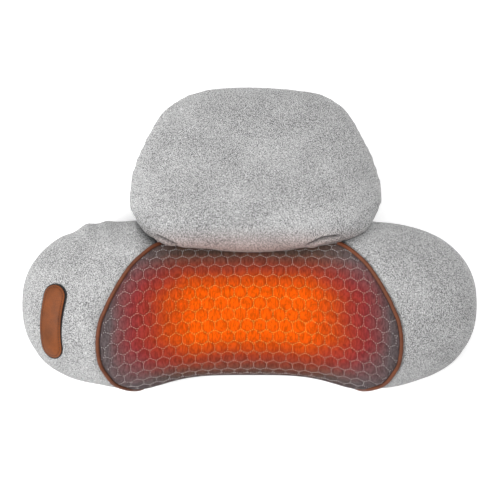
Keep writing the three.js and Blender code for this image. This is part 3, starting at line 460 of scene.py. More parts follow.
def foam_material(name):
    n = Nodes(name)
    cells = n.voronoi(n.place(), 1100.0)
    colour = n.ramp(cells, [(0.1, srgb(205, 198, 176)), (0.6, srgb(238, 233, 216))])
    n.set(Base_Color=colour, Roughness=0.95, Normal=n.bump(cells, 0.0004, 0.6))
    return n.material


def board_material(name):
    n = Nodes(name)
    tracks = n.add("ShaderNodeTexBrick", {"Vector": n.place(), "Scale": 260.0, "Mortar Size": 0.03,
                                          "Color1": (*srgb(28, 100, 58), 1), "Color2": (*srgb(24, 88, 52), 1),
                                          "Mortar": (*srgb(150, 140, 70), 1)})
    n.set(Base_Color=tracks.outputs["Color"], Roughness=0.4)
    return n.material


def heat_field(n, place):
    """How warm the heater makes a point look, 0 to 1, then how central the point is along X and along Y."""
    x, y, _ = n.xyz(place)
    x = n.math("MULTIPLY", n.math("ABSOLUTE", x), 1000.0)
    y = n.math("MULTIPLY", y, 1000.0)
    bend = n.math("MULTIPLY", n.math("MULTIPLY", x, x), 8.0 / 110 ** 2)
    y = n.math("ABSOLUTE", n.math("ADD", n.math("ADD", y, 6.0), bend))
    drift = n.math("MULTIPLY", n.math("SUBTRACT", n.noise(place, 24, 2, 0.5), 0.5), 9.0)
    across = n.math("DIVIDE", n.math("SUBTRACT", 133.0, n.math("ADD", x, drift)), 82.0, clamp=True)
    along = n.math("DIVIDE", n.math("SUBTRACT", 59.0, n.math("ADD", y, drift)), 39.0, clamp=True)
    return n.math("MULTIPLY", across, along), across, along


def quilt_fabric(name):
    """Dark mesh fabric with the heater's orange glow painted into its colour and its emission, and painted
    shade in its quilted seams.
    """
    n = Nodes(name)
    place = n.place()
    heat, across, along = heat_field(n, place)
    # Painted light: the heater's glow is drawn as colour, and used again as emission below.
    glow = n.ramp(heat, [(0.0, srgb(90, 80, 81)), (0.14, srgb(112, 64, 65)), (0.28, srgb(130, 48, 48)),
                         (0.45, srgb(146, 50, 38)), (0.65, srgb(180, 65, 18)), (0.85, srgb(204, 74, 5)),
                         (1.0, srgb(222, 83, 1))])
    brown = n.ramp(along, [(0.0, srgb(84, 66, 58)), (0.2, srgb(108, 62, 46)), (0.45, srgb(142, 58, 28)),
                           (0.75, srgb(192, 71, 11)), (1.0, srgb(222, 83, 1))])
    wide = n.math("MULTIPLY", n.math("SUBTRACT", across, 0.35), 2.0, clamp=True)
    glow = n.mix(n.math("MULTIPLY", wide, n.math("SUBTRACT", 1.0, along)), glow, brown)
    low = n.math("DIVIDE", n.math("SUBTRACT", 0.074, n.xyz(place)["Z"]), 0.03, clamp=True)
    glow = n.mix(low, glow, srgb(64, 53, 54))
    columns = n.mapping(place, scale=(1.0, 0.25, 0.25))
    weave = n.math("ADD", n.math("MULTIPLY", n.noise(columns, 760, 2, 0.7), 0.6),
                   n.math("MULTIPLY", n.noise(place, 900, 2, 0.7), 0.4))
    shade = n.ramp(weave, [(0.41, (0.5, 0.5, 0.5)), (0.58, (1.0, 1.0, 1.0))])
    glow = n.mix(1.0, glow, shade, "MULTIPLY")
    # Painted shade: the colour and the glow go darker where the crease attribute marks the quilted grooves
    # and the piping seam.
    crease = n.crease()
    colour = n.mix(crease, glow, (0.03, 0.015, 0.015))
    emit = n.mix(n.math("MULTIPLY", crease, 0.8), glow, (0.0, 0.0, 0.0))
    n.set(Base_Color=colour, Roughness=0.85, Normal=n.bump(weave, 0.0004, 0.6), Emission_Color=emit,
          Emission_Strength=0.4, Specular_IOR_Level=0.06)
    return n.material


def stitch_thread(name):
    """Pale thread with the panel's glow painted into its colour and its emission."""
    n = Nodes(name)
    heat = heat_field(n, n.place())[0]
    colour = n.ramp(heat, [(0.0, srgb(222, 214, 212)), (0.4, srgb(240, 182, 152)),
                           (0.75, srgb(255, 200, 100)), (1.0, srgb(255, 210, 84))])
    n.set(Base_Color=colour, Roughness=0.7, Emission_Color=colour, Emission_Strength=1.5,
          Specular_IOR_Level=0.1)
    return n.material


MELANGE = melange_fabric("melange_fabric")
# The cushion's fabric carries the heater's glow painted on its lower lip.
CUSHION_FABRIC = melange_fabric("cushion_fabric", warm=True)
QUILT = quilt_fabric("quilt_fabric")
THREAD = stitch_thread("stitch_thread")
LEATHER = leather("piping_leather", (112, 64, 42))
PAD_LEATHER = leather("button_leather", (124, 67, 30), 0.8)
PAD_THREAD = plastic("button_thread", (78, 40, 22), 0.7)
BACKING = melange_fabric("backing_fabric", (92, 92, 96), (58, 58, 62))
BLACK = plastic("black_plastic", (34, 33, 34), 0.45)
NYLON = plastic("white_nylon", (228, 225, 216), 0.4)
NODE = plastic("node_plastic", (46, 45, 48), 0.3)
STEEL = metal("turned_steel", (188, 190, 194))
BRONZE = metal("sintered_bronze", (168, 118, 62), 0.42)
FOAM = foam_material("open_cell_foam")
BOARD = board_material("circuit_board")
FILM = plastic("heater_film_plastic", (44, 40, 38), 0.5)
CABLE = plastic("lead_sheath", (32, 32, 35), 0.5)
SLOT_MATERIALS = {"black_plastic": BLACK, "nylon": NYLON, "node_plastic": NODE, "steel": STEEL,
                  "bronze": BRONZE, "foam": FOAM, "board": BOARD, "film": FILM, "lead": CABLE,
                  "melange": MELANGE, "backing": BACKING, "piping_leather": LEATHER, "mesh": QUILT}


def finish_piece(obj, body, material, replaces=()):
    """Gives the piece its material, and fastens it to its body in place of the nodes it replaces."""
    obj.data.materials.clear()
    obj.data.materials.append(material)
    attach(obj, body)
    if replaces:
        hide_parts(*replaces)


# ---------------------------------------------------------------- the wings, top band and base
def crease_turn(x):
    """The angle of the crease between the bolster and the cushion."""
    return turn_of_front(x, CREASE_Y + CREASE_RISE * (np.abs(x) / CREASE_HALF) ** 2)


def low_turns(x):
    """The angles at which the cover meets the base, at the back and at the front."""
    return turn_of_low(x, BASE_TOP + 0.3, -1), turn_of_low(x, BASE_TOP + 0.3, 1)


def wing_grid(rows, cols):
    """The right wing as a grid of (x, turn). Rows run from its seam to its end. Columns run round it, from
    the base at the back to the base at the front."""
    back = np.linspace(float(low_turns(CREASE_HALF)[0]), SEAM[0, 1] - 0.05, 12)
    line = np.vstack([[(CREASE_HALF, turn) for turn in back], SEAM])
    low, high = low_turns(line[:, 0])
    share = np.maximum.accumulate((line[:, 1] - low) / (high - low))
    round_it = np.linspace(0, 1, cols)
    start = np.interp(round_it, share, line[:, 0])
    row = np.linspace(0, 1, rows)
    out = np.sin(np.pi / 2 * row ** 1.15)
    out = out + (row ** 1.2 - out) * 0.25 * (1 - row)
    x = start[None] + (HALF_LENGTH - 0.02 - start[None]) * out[:, None]
    low, high = low_turns(x)
    return x, low + (high - low) * round_it[None]


def edge_folds(p, side):
    """The cloth is drawn in beside the cushion's corner, and on the left it has soft folds further out.
    A fold is its height, its place along X and its width."""
    folds = [(-3.0, 110, 19)]
    if side < 0:
        folds += [(2.4, 153, 6), (-1.5, 168, 6), (1.3, 135, 5)]
    back = np.clip((p[..., 1] - 52) / 22, 0, 1)
    return back * sum(height * bell(p[..., 0], place, width) for height, place, width in folds)


def tucked_shade(p, end_x, end_y):
    """The painted shade beside a cushion corner, highest on a line from the seam's end to (end_x, end_y)."""
    start = np.array([math.copysign(CREASE_HALF + 2, end_x), CREASE_Y + CREASE_RISE])
    along = np.array([end_x, end_y]) - start
    off = p[..., :2] - start
    share = np.clip(off @ along / (along @ along), 0, 1)
    gap = np.linalg.norm(off - share[..., None] * along, axis=-1)
    return bell(gap, 0, 8.5) * (1 - 0.35 * share) + 0.4 * bell(gap, 0, 3) * (1 - share)


def foot_swell(p, side):
    """The filling sits low in the wings, so their front corners stand a little fuller than the formula."""
    front = np.clip((-p[..., 1] - 40) / 25, 0, 1)
    lift = 3.0 * bell(p[..., 0], 198, 18)
    if side < 0:
        lift = lift + 2.4 * bell(p[..., 0], 165, 22)
    return lift * front


SEAM_PULL, SEAM_PULL_REACH = -2.4, 3.2
SEAM_FULLNESS, SEAM_FULL_AT = 0.96, 14
SEAM_PUCKER = 0.18
WING_RIPPLE = 0.7
LEFT_TUCK, RIGHT_TUCK = (-108, 80), (106, 78)


def wing_skin(side):
    """A wing's cover: pulled in at the piping, full beside it, lightly rippled, and with painted shade beside
    the cushion's corners.
    """
    x, turn = wing_grid(110, 190)
    p = bolster(x, turn)
    normal = outward_normals(p, (120.0, CENTRE_Y, MIDDLE_Z))
    reach = np.linalg.norm(np.diff(p, axis=0, prepend=p[:1]), axis=-1).cumsum(0)
    arc = np.linalg.norm(np.diff(p[:1], axis=1, prepend=p[:1, :1]), axis=-1).cumsum(1)
    near_seam = np.exp(-reach / SEAM_PULL_REACH)
    full = SEAM_FULLNESS * (reach / SEAM_FULL_AT) * np.exp(1 - reach / SEAM_FULL_AT)
    pucker = SEAM_PUCKER * np.exp(-reach / 9) * np.sin(arc * 0.62 + 1.4 * np.sin(arc * 0.11 + side))
    fade = np.clip(reach / 25, 0, 1) * np.clip((HALF_LENGTH - x) / 30, 0, 1)
    lift = SEAM_PULL * near_seam + full + pucker + fade * wander(p, 95, WING_RIPPLE, 11 + side)
    lift = lift + edge_folds(p, side) + foot_swell(p, side)
    if side > 0:
        lift = flatten_at_socket(p, lift)
    lift = lift * np.clip((p[..., 2] - BASE_TOP) / 6, 0.0, 1)
    outer = p + normal * lift[..., None]
    inner = p - normal * (COVER_THICKNESS + near_seam[..., None] * 1.6)
    outer[-1], inner[-1] = outer[-1].mean(0), inner[-1].mean(0)
    outer[..., 0] *= side
    inner[..., 0] *= side
    if side < 0:
        outer, inner = outer[:, ::-1], inner[:, ::-1]
    obj = shell(f"{SIDE_NAMES[side]}_wing_fabric", outer, inner)
    if side > 0:
        cut_socket_hole(obj)
    else:
        cut_button_hole(obj)
    # Painted shade beside the cushion's lower corners, where the cushion's shadow falls on the wing.
    corner_shade = tucked_shade(outer, *LEFT_TUCK) * 0.75 + tucked_shade(outer, *RIGHT_TUCK) * 0.6
    mark_by_nearest(obj, outer.reshape(-1, 3), corner_shade.reshape(-1))
    finish_piece(obj, "bolster", MELANGE, [f"{SIDE_NAMES[side]}_wing_cover"])


SOCKET_X, SOCKET_Z, SOCKET_HOLE = 150.0, 27.0, 7.2
SOCKET_FLAT = 24


def socket_axis():
    """The DC socket's centre on the bolster's front foot and its direction outward."""
    def at(x, z):
        return bolster(x, turn_of_low(np.array(x), z, 1))
    middle = at(SOCKET_X, SOCKET_Z)
    outward = np.cross(at(SOCKET_X + 1, SOCKET_Z) - middle, at(SOCKET_X, SOCKET_Z + 1) - middle)
    return middle, unit(outward)


def flatten_at_socket(p, lift):
    """The cover lies flat round the socket, with a low swell outside its bezel."""
    gap = np.linalg.norm(p - socket_axis()[0], axis=-1)
    flat = np.where(gap < SOCKET_FLAT, lift * (gap / SOCKET_FLAT) ** 2, lift)
    return flat + 0.6 * bell(gap, 14, 4.5) - 0.4 * bell(gap, 0, 9)


def cut_socket_hole(obj):
    middle, outward = socket_axis()
    path = [middle + outward * along for along in (-8, -2, 8)]
    cut_away(obj, sweep("cutter", path, SOCKET_HOLE, 40))


def cut_button_hole(obj):
    """The cover is cut out for the button's tray, whose rim hides the edge."""
    outline = button_outline(TRAY_HOLE_GROW)
    cut_prism(obj, on_wing(outline, -5), on_wing(outline, 12))


def top_band():
    """The strip of cover behind the head cushion, from the crease down to the base."""
    xs = np.linspace(-CREASE_HALF + 0.3, CREASE_HALF - 0.3, 90)
    low = low_turns(xs)[0]
    high = crease_turn(xs) - 0.03
    t = np.linspace(0, 1, 40)[:, None]
    turn = low + (high - low) * t
    p = bolster(np.broadcast_to(xs, turn.shape), turn)
    normal = outward_normals(p, (0, 0, MIDDLE_Z))
    ripple = wander(p, 60, 0.5, 5)[..., None] * (np.sin(np.pi * t) ** 0.5)[..., None]
    obj = shell("top_band_fabric", p + normal * ripple, p - normal * COVER_THICKNESS)
    finish_piece(obj, "bolster", MELANGE, ["top_band"])


BASE_THICKNESS = 1.3
ZIP_SLOT_HALF = 4.5


def base_limit():
    """How far out the base reaches: where the bolster's lower half still comes down to the base's top."""
    limit = HALF_LENGTH * 0.975
    while section(limit)[3] < MIDDLE_Z - BASE_TOP + 0.5:
        limit -= 0.5
    return limit


def base_cover():
    """The dark backing under the bolster, open at the zip."""
    rows, cols = 120, 90
    x = base_limit() * np.sin(np.pi / 2 * np.linspace(-1, 1, rows))
    start = turn_of_low(x, BASE_TOP - 0.1, 1)
    end = 2 * np.pi + turn_of_low(x, BASE_TOP - 0.1, -1)
    t = np.linspace(0, 1, cols)
    t = t - 0.09 * np.sin(4 * np.pi * t) / 2
    turn = start[:, None] + (end - start)[:, None] * t[None]
    p = bolster(np.broadcast_to(x[:, None], turn.shape), turn)
    normal = outward_normals(p, (0, 0, MIDDLE_Z))
    obj = shell("base_fabric", p, p - normal * BASE_THICKNESS)
    low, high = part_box("zip_tape_lower")[0] / MM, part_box("zip_tape_upper")[1] / MM
    left, right, middle = low.x - 2, high.x + 2, (low.y + high.y) / 2
    front, back = middle - ZIP_SLOT_HALF, middle + ZIP_SLOT_HALF
    corners = [(left, front), (right, front), (right, back), (left, back)]
    cut_prism(obj, [(x, y, -6) for x, y in corners], [(x, y, 9) for x, y in corners])
    finish_piece(obj, "bolster", BACKING, ["base_panel"])


# ---------------------------------------------------------------- the quilted massage panel
PANEL_TUCK = 0.05


def panel_spans(x):
    """The angles between which the massage panel lies at x: from the crease to the foot of its front."""
    low = crease_turn(x) - PANEL_TUCK
    high = turn_of_low(np.minimum(np.abs(x), PANEL_CORNER_X + 30), BASE_TOP + 0.6, 1)
    return low, high


def seam_shares():
    """How far down the panel, 0 to 1, each point of the seam lies."""
    low, high = panel_spans(SEAM[:, 0])
    shares = np.maximum.accumulate((SEAM[:, 1] - low) / (high - low))
    shares[-1] = 1.0
    return shares


SEAM_SHARE = seam_shares()


def half_width(v):
    """How far out the panel reaches at v, its share of the way down."""
    return np.interp(v, SEAM_SHARE, SEAM[:, 0])


def panel_point(x, v):
    low, high = panel_spans(x)
    return bolster(x, low + (high - low) * v)


CENTRE_V = np.linspace(0, 1, 400)
CENTRE_LINE = panel_point(np.zeros(400), CENTRE_V)
CENTRE_ARC = line_lengths(CENTRE_LINE)
FABRIC_X = np.linspace(0, 150, 76)


def fabric_rows():
    """A grid over FABRIC_X and CENTRE_V of how far down the cloth a point lies. On top it is counted along
    the middle, so that the quilting's rows arch up. Past the front edge it follows the cloth's own length."""
    p = panel_point(FABRIC_X[:, None], CENTRE_V[None])
    arch = 7.0 - 0.082 * np.clip(CENTRE_LINE[:, 1], -66, 50)
    slope = np.clip(1 / np.maximum(np.abs(np.gradient(CENTRE_LINE[:, 1], CENTRE_ARC)), 0.55), 1, 1.8)
    rise = arch * (FABRIC_X[:, None] / WAIST_HALF_WIDTH) ** 2
    rows = CENTRE_ARC - (p[..., 1] - CENTRE_LINE[:, 1] + rise) * slope
    length = np.linalg.norm(np.diff(p, axis=1, prepend=p[:, :1]), axis=-1).cumsum(1)
    edge = int(np.argmax(CENTRE_LINE[:, 2] < MIDDLE_Z + 4))
    rows[:, edge:] = rows[:, edge:edge + 1] + length[:, edge:] - length[:, edge:edge + 1]
    return rows


FABRIC_ROWS = fabric_rows()


def fabric_down(x, v):
    """How far down the cloth the point (x, v) lies, read from the grid."""
    across = np.clip(np.abs(x) / FABRIC_X[1], 0, len(FABRIC_X) - 1.001)
    down = np.clip(np.asarray(v) * (len(CENTRE_V) - 1), 0, len(CENTRE_V) - 1.001)
    i, j = across.astype(int), down.astype(int)
    s, t = across - i, down - j
    near = FABRIC_ROWS[i, j] * (1 - t) + FABRIC_ROWS[i, j + 1] * t
    far = FABRIC_ROWS[i + 1, j] * (1 - t) + FABRIC_ROWS[i + 1, j + 1] * t
    return near * (1 - s) + far * s


def hex_edge(a, b):
    """The distance from fabric point (a, b) to its hexagon's nearest edge, and its place from the centre."""
    a, b = a - HEX_SHIFT[0], b - HEX_SHIFT[1]
    best = np.full(a.shape, 1e9)
    da, db = np.zeros(a.shape), np.zeros(a.shape)
    for row in (np.round(b / HEX_ROW) + k for k in (-1, 0, 1)):
        shift = np.mod(row, 2) * 0.5
        centre_a = (np.round(a / HEX_PITCH - shift) + shift) * HEX_PITCH
        centre_b = row * HEX_ROW
        gap = (a - centre_a) ** 2 + (b - centre_b) ** 2
        near = gap < best
        best = np.where(near, gap, best)
        da, db = np.where(near, a - centre_a, da), np.where(near, b - centre_b, db)
    half, slant = da * 0.5, db * math.sqrt(3) / 2
    reach = np.stack([np.abs(da), np.abs(half + slant), np.abs(half - slant)])
    return HEX_PITCH / 2 - reach.max(0), da, db


QUILT_DEPTH = 1.0
QUILT_SLOPE = 3.0
QUILT_SINK = 0.6 * QUILT_DEPTH
SEAM_SINK = 1.5
LOWEST_LIFT = -1.8
PANEL_INSIDE = -2.3
PANEL_EDGE = 1.1


def quilt_height(edge):
    """The height of the filled cloth at a distance from the hexagon's edge."""
    share = np.clip(edge / QUILT_SLOPE, 0, 1)
    return QUILT_DEPTH * (1 - (1 - share) ** 2) - QUILT_SINK


def panel_surface(x, v, lift):
    """Points of the panel lifted off the bolster, and the normals there."""
    p = panel_point(x, v)
    du = panel_point(x + 0.5, v) - panel_point(x - 0.5, v)
    dv = panel_point(x, np.minimum(v + 0.004, 1)) - panel_point(x, np.maximum(v - 0.004, 0))
    n = unit(np.cross(du, -dv))
    return p + n * np.asarray(lift)[..., None], n


def seam_dip(x, v):
    """How far the cloth is drawn down beside the piping and the crease: 1 at either, fading to 0."""
    gap = half_width(v) - np.abs(x)
    top = np.interp(v, CENTRE_V, CENTRE_ARC)
    return np.exp(-np.maximum(gap, 0) / 3.0) + np.exp(-top / 5.0)


def massage_panel():
    """The quilted cloth, its hexagons pressed in by the stitching, with painted shade in each groove, more on
    one side of each hexagon, and beside the piping.
    """
    rows, cols = ((176, 244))
    v = np.linspace(0, 1, rows)[:, None] + np.zeros((1, cols))
    x = np.linspace(-1, 1, cols)[None] * (half_width(v) - PANEL_EDGE)
    from_seam = half_width(v) - np.abs(x)
    edge, da, db = hex_edge(x, fabric_down(x, v))
    full = np.clip(from_seam / 6, 0, 1)
    lift = quilt_height(edge) * (0.25 + 0.75 * full) - SEAM_SINK * seam_dip(x, v)
    lift = np.maximum(lift, LOWEST_LIFT)
    lift *= np.clip((panel_point(x, v)[..., 2] - BASE_TOP) / 5, 0.15, 1)
    outer = panel_surface(x, v, lift)[0][:, ::-1]
    inner = panel_surface(x, v, np.full(x.shape, PANEL_INSIDE))[0][:, ::-1]
    obj = shell("quilted_panel", outer, inner)
    # Painted shade: each groove is darkened, more on one side of the hexagon, and the cloth beside the piping
    # too.
    lower = np.clip(0.62 + 0.38 * np.sign(da + db * 0.6), 0, 1)
    groove = np.exp(-(np.maximum(edge - 0.1, 0) / 0.8) ** 2) * (0.12 + 0.33 * lower)
    shade_beside_seam = 0.8 * np.exp(-np.maximum(from_seam, 0) / 2.2)
    crease = np.clip(np.maximum(groove, shade_beside_seam), 0, 1)
    mark_by_nearest(obj, outer.reshape(-1, 3), crease[:, ::-1].reshape(-1))
    finish_piece(obj, "bolster", QUILT, ["massage_panel"])


def find_v(a, b):
    """How far down the panel, 0 to 1, the fabric point (a, b) lies, by halving."""
    low, high = np.zeros(a.shape), np.ones(a.shape)
    for _ in range(26):
        mid = (low + high) / 2
        more = fabric_down(a, mid) < b
        low, high = np.where(more, mid, low), np.where(more, high, mid)
    return (low + high) / 2


STITCHES_PER_EDGE, STITCH_FROM = 3, 0.36
STITCH_RISE, STITCH_RADIUS, UPRIGHT_THINNER = 0.24, 0.21, 0.72
STITCH_FREE_EDGE = 2.4
BEAD_LIFT, BEAD_WAIST = 0.12, 0.22


def thread_beads(name, starts, ends, normals, radius):
    """One object with a short bead of thread, pointed at both ends, from each start to its end."""
    along = ends - starts
    across = np.cross(unit(along), normals)
    middle = (starts + ends) / 2 + normals * BEAD_LIFT
    thick = np.broadcast_to(radius, len(starts))[:, None]
    ring = [across * thick, normals * thick, -across * thick, -normals * thick]
    waists = [middle + share * along + spoke for share in (-BEAD_WAIST, BEAD_WAIST) for spoke in ring]
    verts = np.stack([starts, ends] + waists, 1)
    faces = []
    for first in range(0, verts.shape[0] * verts.shape[1], verts.shape[1]):
        for k in range(4):
            near, next_near = first + 2 + k, first + 2 + (k + 1) % 4
            faces += [(first, next_near, near), (first + 1, near + 4, next_near + 4),
                      (near, next_near, next_near + 4, near + 4)]
    return new_object(name, verts.reshape(-1, 3), faces)


def stitch_places():
    """The two ends of each stitch on the flat fabric. A hexagon gives three of its edges, and its
    neighbours give the rest."""
    side = HEX_PITCH / math.sqrt(3)
    starts, ends = [], []
    for row in range(-3, int(CENTRE_ARC[-1] / HEX_ROW) + 4):
        for col in range(-14, 15):
            centre = np.array([(col + 0.5 * (row % 2)) * HEX_PITCH, row * HEX_ROW]) + HEX_SHIFT
            turns = [k * math.pi / 3 for k in range(4)]
            corners = [centre + side * np.array([math.sin(turn), -math.cos(turn)]) for turn in turns]
            for corner, following in zip(corners, corners[1:]):
                for i in range(STITCHES_PER_EDGE):
                    starts.append(corner + (following - corner) * (i + STITCH_FROM) / STITCHES_PER_EDGE)
                    ends.append(corner + (following - corner) * (i + 1 - STITCH_FROM) / STITCHES_PER_EDGE)
    return np.array(starts), np.array(ends)


def quilt_stitches():
    """A bead of thread for each stitch that falls inside the panel, laid in the groove."""
    starts, ends = stitch_places()
    start_v, end_v = find_v(*starts.T), find_v(*ends.T)
    middle_x = (starts[:, 0] + ends[:, 0]) / 2
    middle_v = (start_v + end_v) / 2
    inside = np.abs(middle_x) < half_width(middle_v) - STITCH_FREE_EDGE
    keep = (middle_v > 0.012) & (middle_v < 0.985) & inside
    starts, ends, start_v, end_v = starts[keep], ends[keep], start_v[keep], end_v[keep]

    def in_groove(x, v):
        return panel_surface(x, v, STITCH_RISE - QUILT_SINK - SEAM_SINK * seam_dip(x, v))
    places, normals = in_groove(starts[:, 0], start_v)
    upright = np.abs(ends[:, 0] - starts[:, 0]) < 0.01
    radius = STITCH_RADIUS * np.where(upright, UPRIGHT_THINNER, 1.0)
    obj = thread_beads("quilt_stitches", places, in_groove(ends[:, 0], end_v)[0], normals, radius)
    finish_piece(obj, "bolster", THREAD)


# ---------------------------------------------------------------- piping
PIPING_POINTS = 150
PIPING_RISE = 0.5


def piping(side):
    """The leather cord along one seam of the panel."""
    lengths = line_lengths(bolster(SEAM[:, 0], SEAM[:, 1]))
    at = np.linspace(0, lengths[-1], PIPING_POINTS)
    x, turn = np.interp(at, lengths, SEAM[:, 0]), np.interp(at, lengths, SEAM[:, 1])
    p = bolster(x, turn)
    round_it = bolster(x, turn + 0.01) - bolster(x, turn - 0.01)
    along_x = bolster(x + 0.4, turn) - bolster(x - 0.4, turn)
    normal = unit(np.cross(round_it, along_x))
    normal *= np.sign(np.sum(normal * (p - np.array([60.0, 0, MIDDLE_Z])), 1, keepdims=True))
    path = p + normal * PIPING_RISE
    path[:, 0] *= side
    radius = PIPING_RADIUS * (1 + 0.02 * np.sin(at * 0.9))
    obj = sweep(f"{SIDE_NAMES[side]}_leather_piping", path, radius, 14)
    finish_piece(obj, "bolster", LEATHER, [f"{SIDE_NAMES[side]}_piping"])


# ---------------------------------------------------------------- head cushion
CUSHION_X = (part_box("cushion_foam")[0].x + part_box("cushion_foam")[1].x) / 2 / MM
CUSHION_OUTLINE = [(0, 52.5), (50, 55), (92, 63), (110, 80), (118, 104), (111, 138), (96, 170),
                   (77, 192), (50, 203), (0, 206.5)]
CUSHION_MIDDLE_Y, CUSHION_FRONT, CUSHION_BACK = 128.0, 28.0, 16.0
CUSHION_SAG, CUSHION_SAG_REACH, CUSHION_DROP = 9.0, 60.0, 0.597
HINGE_Y, HINGE_Z = 56.0, 94.0
CUSHION_SEAM_INSET = 2.0
CUSHION_STRETCH, CUSHION_SHIFT = (1.06, 1.045), (1.0, 1.6)


def cushion_outline(count):
    """The cushion's outline seen from the front, all the way round from the middle of its lower edge."""
    full = CUSHION_OUTLINE + [(-x, y) for x, y in CUSHION_OUTLINE[-2:0:-1]]
    per = 20
    line = smooth_line(full[-2:] + full + full[:2], per)[2 * per:-per]
    first = np.argmin(np.abs(line[:, 0]) + (line[:, 1] > CUSHION_MIDDLE_Y) * 1000)
    return resample_closed(np.vstack([line[first:], line[:first]]), count)


def cushion_middle(x, y):
    """The height halfway between the cushion's front and back: it slopes down and sags at its lip."""
    middle = np.cos(np.pi / 2 * np.clip(np.abs(x) / 95, 0, 1)) ** 2
    sag = CUSHION_SAG * middle * (1 - smoothstep((y - CUSHION_OUTLINE[0][1]) / CUSHION_SAG_REACH))
    return HINGE_Z - sag - CUSHION_DROP * (y - HINGE_Y)


def cushion_points(line, share, height):
    """One ring of the cushion, drawn a little large because the cloth draws in when it is filled."""
    x = line[:, 0] * share * CUSHION_STRETCH[0]
    y = CUSHION_MIDDLE_Y + CUSHION_SHIFT[1] + (line[:, 1] - CUSHION_MIDDLE_Y) * share * CUSHION_STRETCH[1]
    full = height * np.sqrt(np.maximum(0, 1 - share ** 2.6))
    return np.stack([CUSHION_X + CUSHION_SHIFT[0] + x, y, cushion_middle(x, y) + full], 1)


def closed_pad(name, rings, start, end):
    """A closed body from the point start over the rings to the point end."""
    count = len(rings[0])
    verts = np.vstack([start[None], *rings, end[None]])
    faces = grid_faces(len(rings), count, 1, wrap=True)
    last = len(verts) - 1
    faces += [[0, 1 + (k + 1) % count, 1 + k] for k in range(count)]
    faces += [[last, last - count + k, last - count + (k + 1) % count] for k in range(count)]
    return new_solid(name, verts, faces)


def head_cushion():
    """The head cushion as one filled pad, whose cloth is simulated."""
    line = cushion_outline(160)
    front_height, back_height = CUSHION_FRONT - CUSHION_SEAM_INSET, CUSHION_SEAM_INSET - CUSHION_BACK
    shares = np.sin(np.linspace(0, np.pi / 2, 22)[1:])
    front = [cushion_points(line, share, front_height) for share in shares]
    back = [cushion_points(line, share, back_height) for share in shares[:-1]][::-1]
    middle = np.array([[0, CUSHION_MIDDLE_Y]])
    top = cushion_points(middle, 0.0, front_height)[0]
    bottom = cushion_points(middle, 0.0, back_height)[0]
    obj = closed_pad("head_cushion_pad", front + back, top, bottom)
    puff_up(obj, voxel=4.0, pressure=4.0, cap=4.0)
    add_cushion_detail(obj)
    finish_piece(obj, "head_cushion", CUSHION_FABRIC,
                 ["cushion_front_cover", "cushion_back_cover", "cushion_foam"])


SIMULATION_FRAMES = 20


def simulate_filling(obj, pressure, cap):
    """Fills the cloth with air for a few frames. No point moves further than cap millimetres."""
    before = read_vertices(obj.data, "co")
    cloth = obj.modifiers.new("cloth", "CLOTH")
    cloth.settings.use_pressure = True
    cloth.settings.uniform_pressure_force = pressure
    cloth.settings.effector_weights.gravity = 0
    cloth.settings.quality = 5
    cloth.point_cache.frame_start = 1
    cloth.point_cache.frame_end = SIMULATION_FRAMES
    scene = bpy.context.scene
    for step in range(1, SIMULATION_FRAMES + 1):
        scene.frame_set(step)
    graph = bpy.context.evaluated_depsgraph_get()
    swollen = bpy.data.meshes.new_from_object(obj.evaluated_get(graph))
    move = read_vertices(swollen, "co") - before
    obj.modifiers.clear()
    scene.frame_set(1)
    size = np.linalg.norm(move, axis=1, keepdims=True)
    move *= np.minimum(1, cap * MM / np.maximum(size, 1e-9))
    obj.data.vertices.foreach_set("co", (before + move).ravel())
    obj.data.update()


def puff_up(obj, voxel, pressure, cap):
    """Remeshes the pad evenly, swells it with a short cloth simulation and makes it smooth and fine."""
    remesh = obj.modifiers.new("remesh", "REMESH")
    remesh.mode = "VOXEL"
    remesh.voxel_size = voxel * MM
    apply_modifiers(obj)
    simulate_filling(obj, pressure, cap)
    smooth = obj.modifiers.new("smooth", "SMOOTH")
    smooth.factor = 0.5
    smooth.iterations = 14
    finer = obj.modifiers.new("finer", "SUBSURF")
    finer.levels = finer.render_levels = 2
    apply_modifiers(obj)
    obj.data.polygons.foreach_set("use_smooth", [True] * len(obj.data.polygons))


CUSHION_SEAM_Z = -6.0
CORNER_FOLDS = ([(-89, 67.5), (-85.8, 66.4), (-79.9, 63.6), (-73.2, 60.2), (-67, 57.4)],
                [(53, 57.6), (58, 59.4), (63, 62.1), (69.5, 64.9), (79, 66.2), (90, 67.4)])


def add_cushion_detail(obj):
    """Presses a seam into the cushion's edge with a light ripple beside it, folds its lower corners, and
    paints shade in the folds and beside the corners.
    """
    p, n = read_vertices(obj.data, "co") / MM, read_vertices(obj.data, "normal")
    height = p[:, 2] - cushion_middle(p[:, 0] - CUSHION_X, p[:, 1])
    seam = bell(height, CUSHION_SEAM_Z, 1.6)
    beside = np.exp(-(np.abs(height - CUSHION_SEAM_Z) / 9.0))
    angle = np.arctan2(p[:, 1] - CUSHION_MIDDLE_Y, p[:, 0] - CUSHION_X)
    ripple = np.sin(angle * 64 + 2 * np.sin(angle * 7)) * 0.1
    lift = -1.0 * seam + beside * ripple + wander(p, 110, 0.6, 3)
    p = p + n * lift[:, None]
    p[:, 0] += 2.6 * bell(p[:, 1], 162, 34) * np.clip((-30 - p[:, 0]) / 60, 0, 1)
    p[:, 1] += lip_drop(p)
    front = np.clip((height + 4) / 4, 0, 1)
    # Painted shade beside the cushion's lower corners and in the grooves of its corner folds.
    dark = np.maximum(tucked_shade(p, *LEFT_TUCK) * 0.42, tucked_shade(p, *RIGHT_TUCK) * 0.25)
    for fold in CORNER_FOLDS:
        lift, groove = corner_fold(p, smooth_line(fold, 12))
        p = p + n * (lift * front)[:, None]
        dark = np.maximum(dark, groove * front)
    write_painted_shade(obj, dark)
    obj.data.vertices.foreach_set("co", (p * MM).ravel())
    obj.data.update()


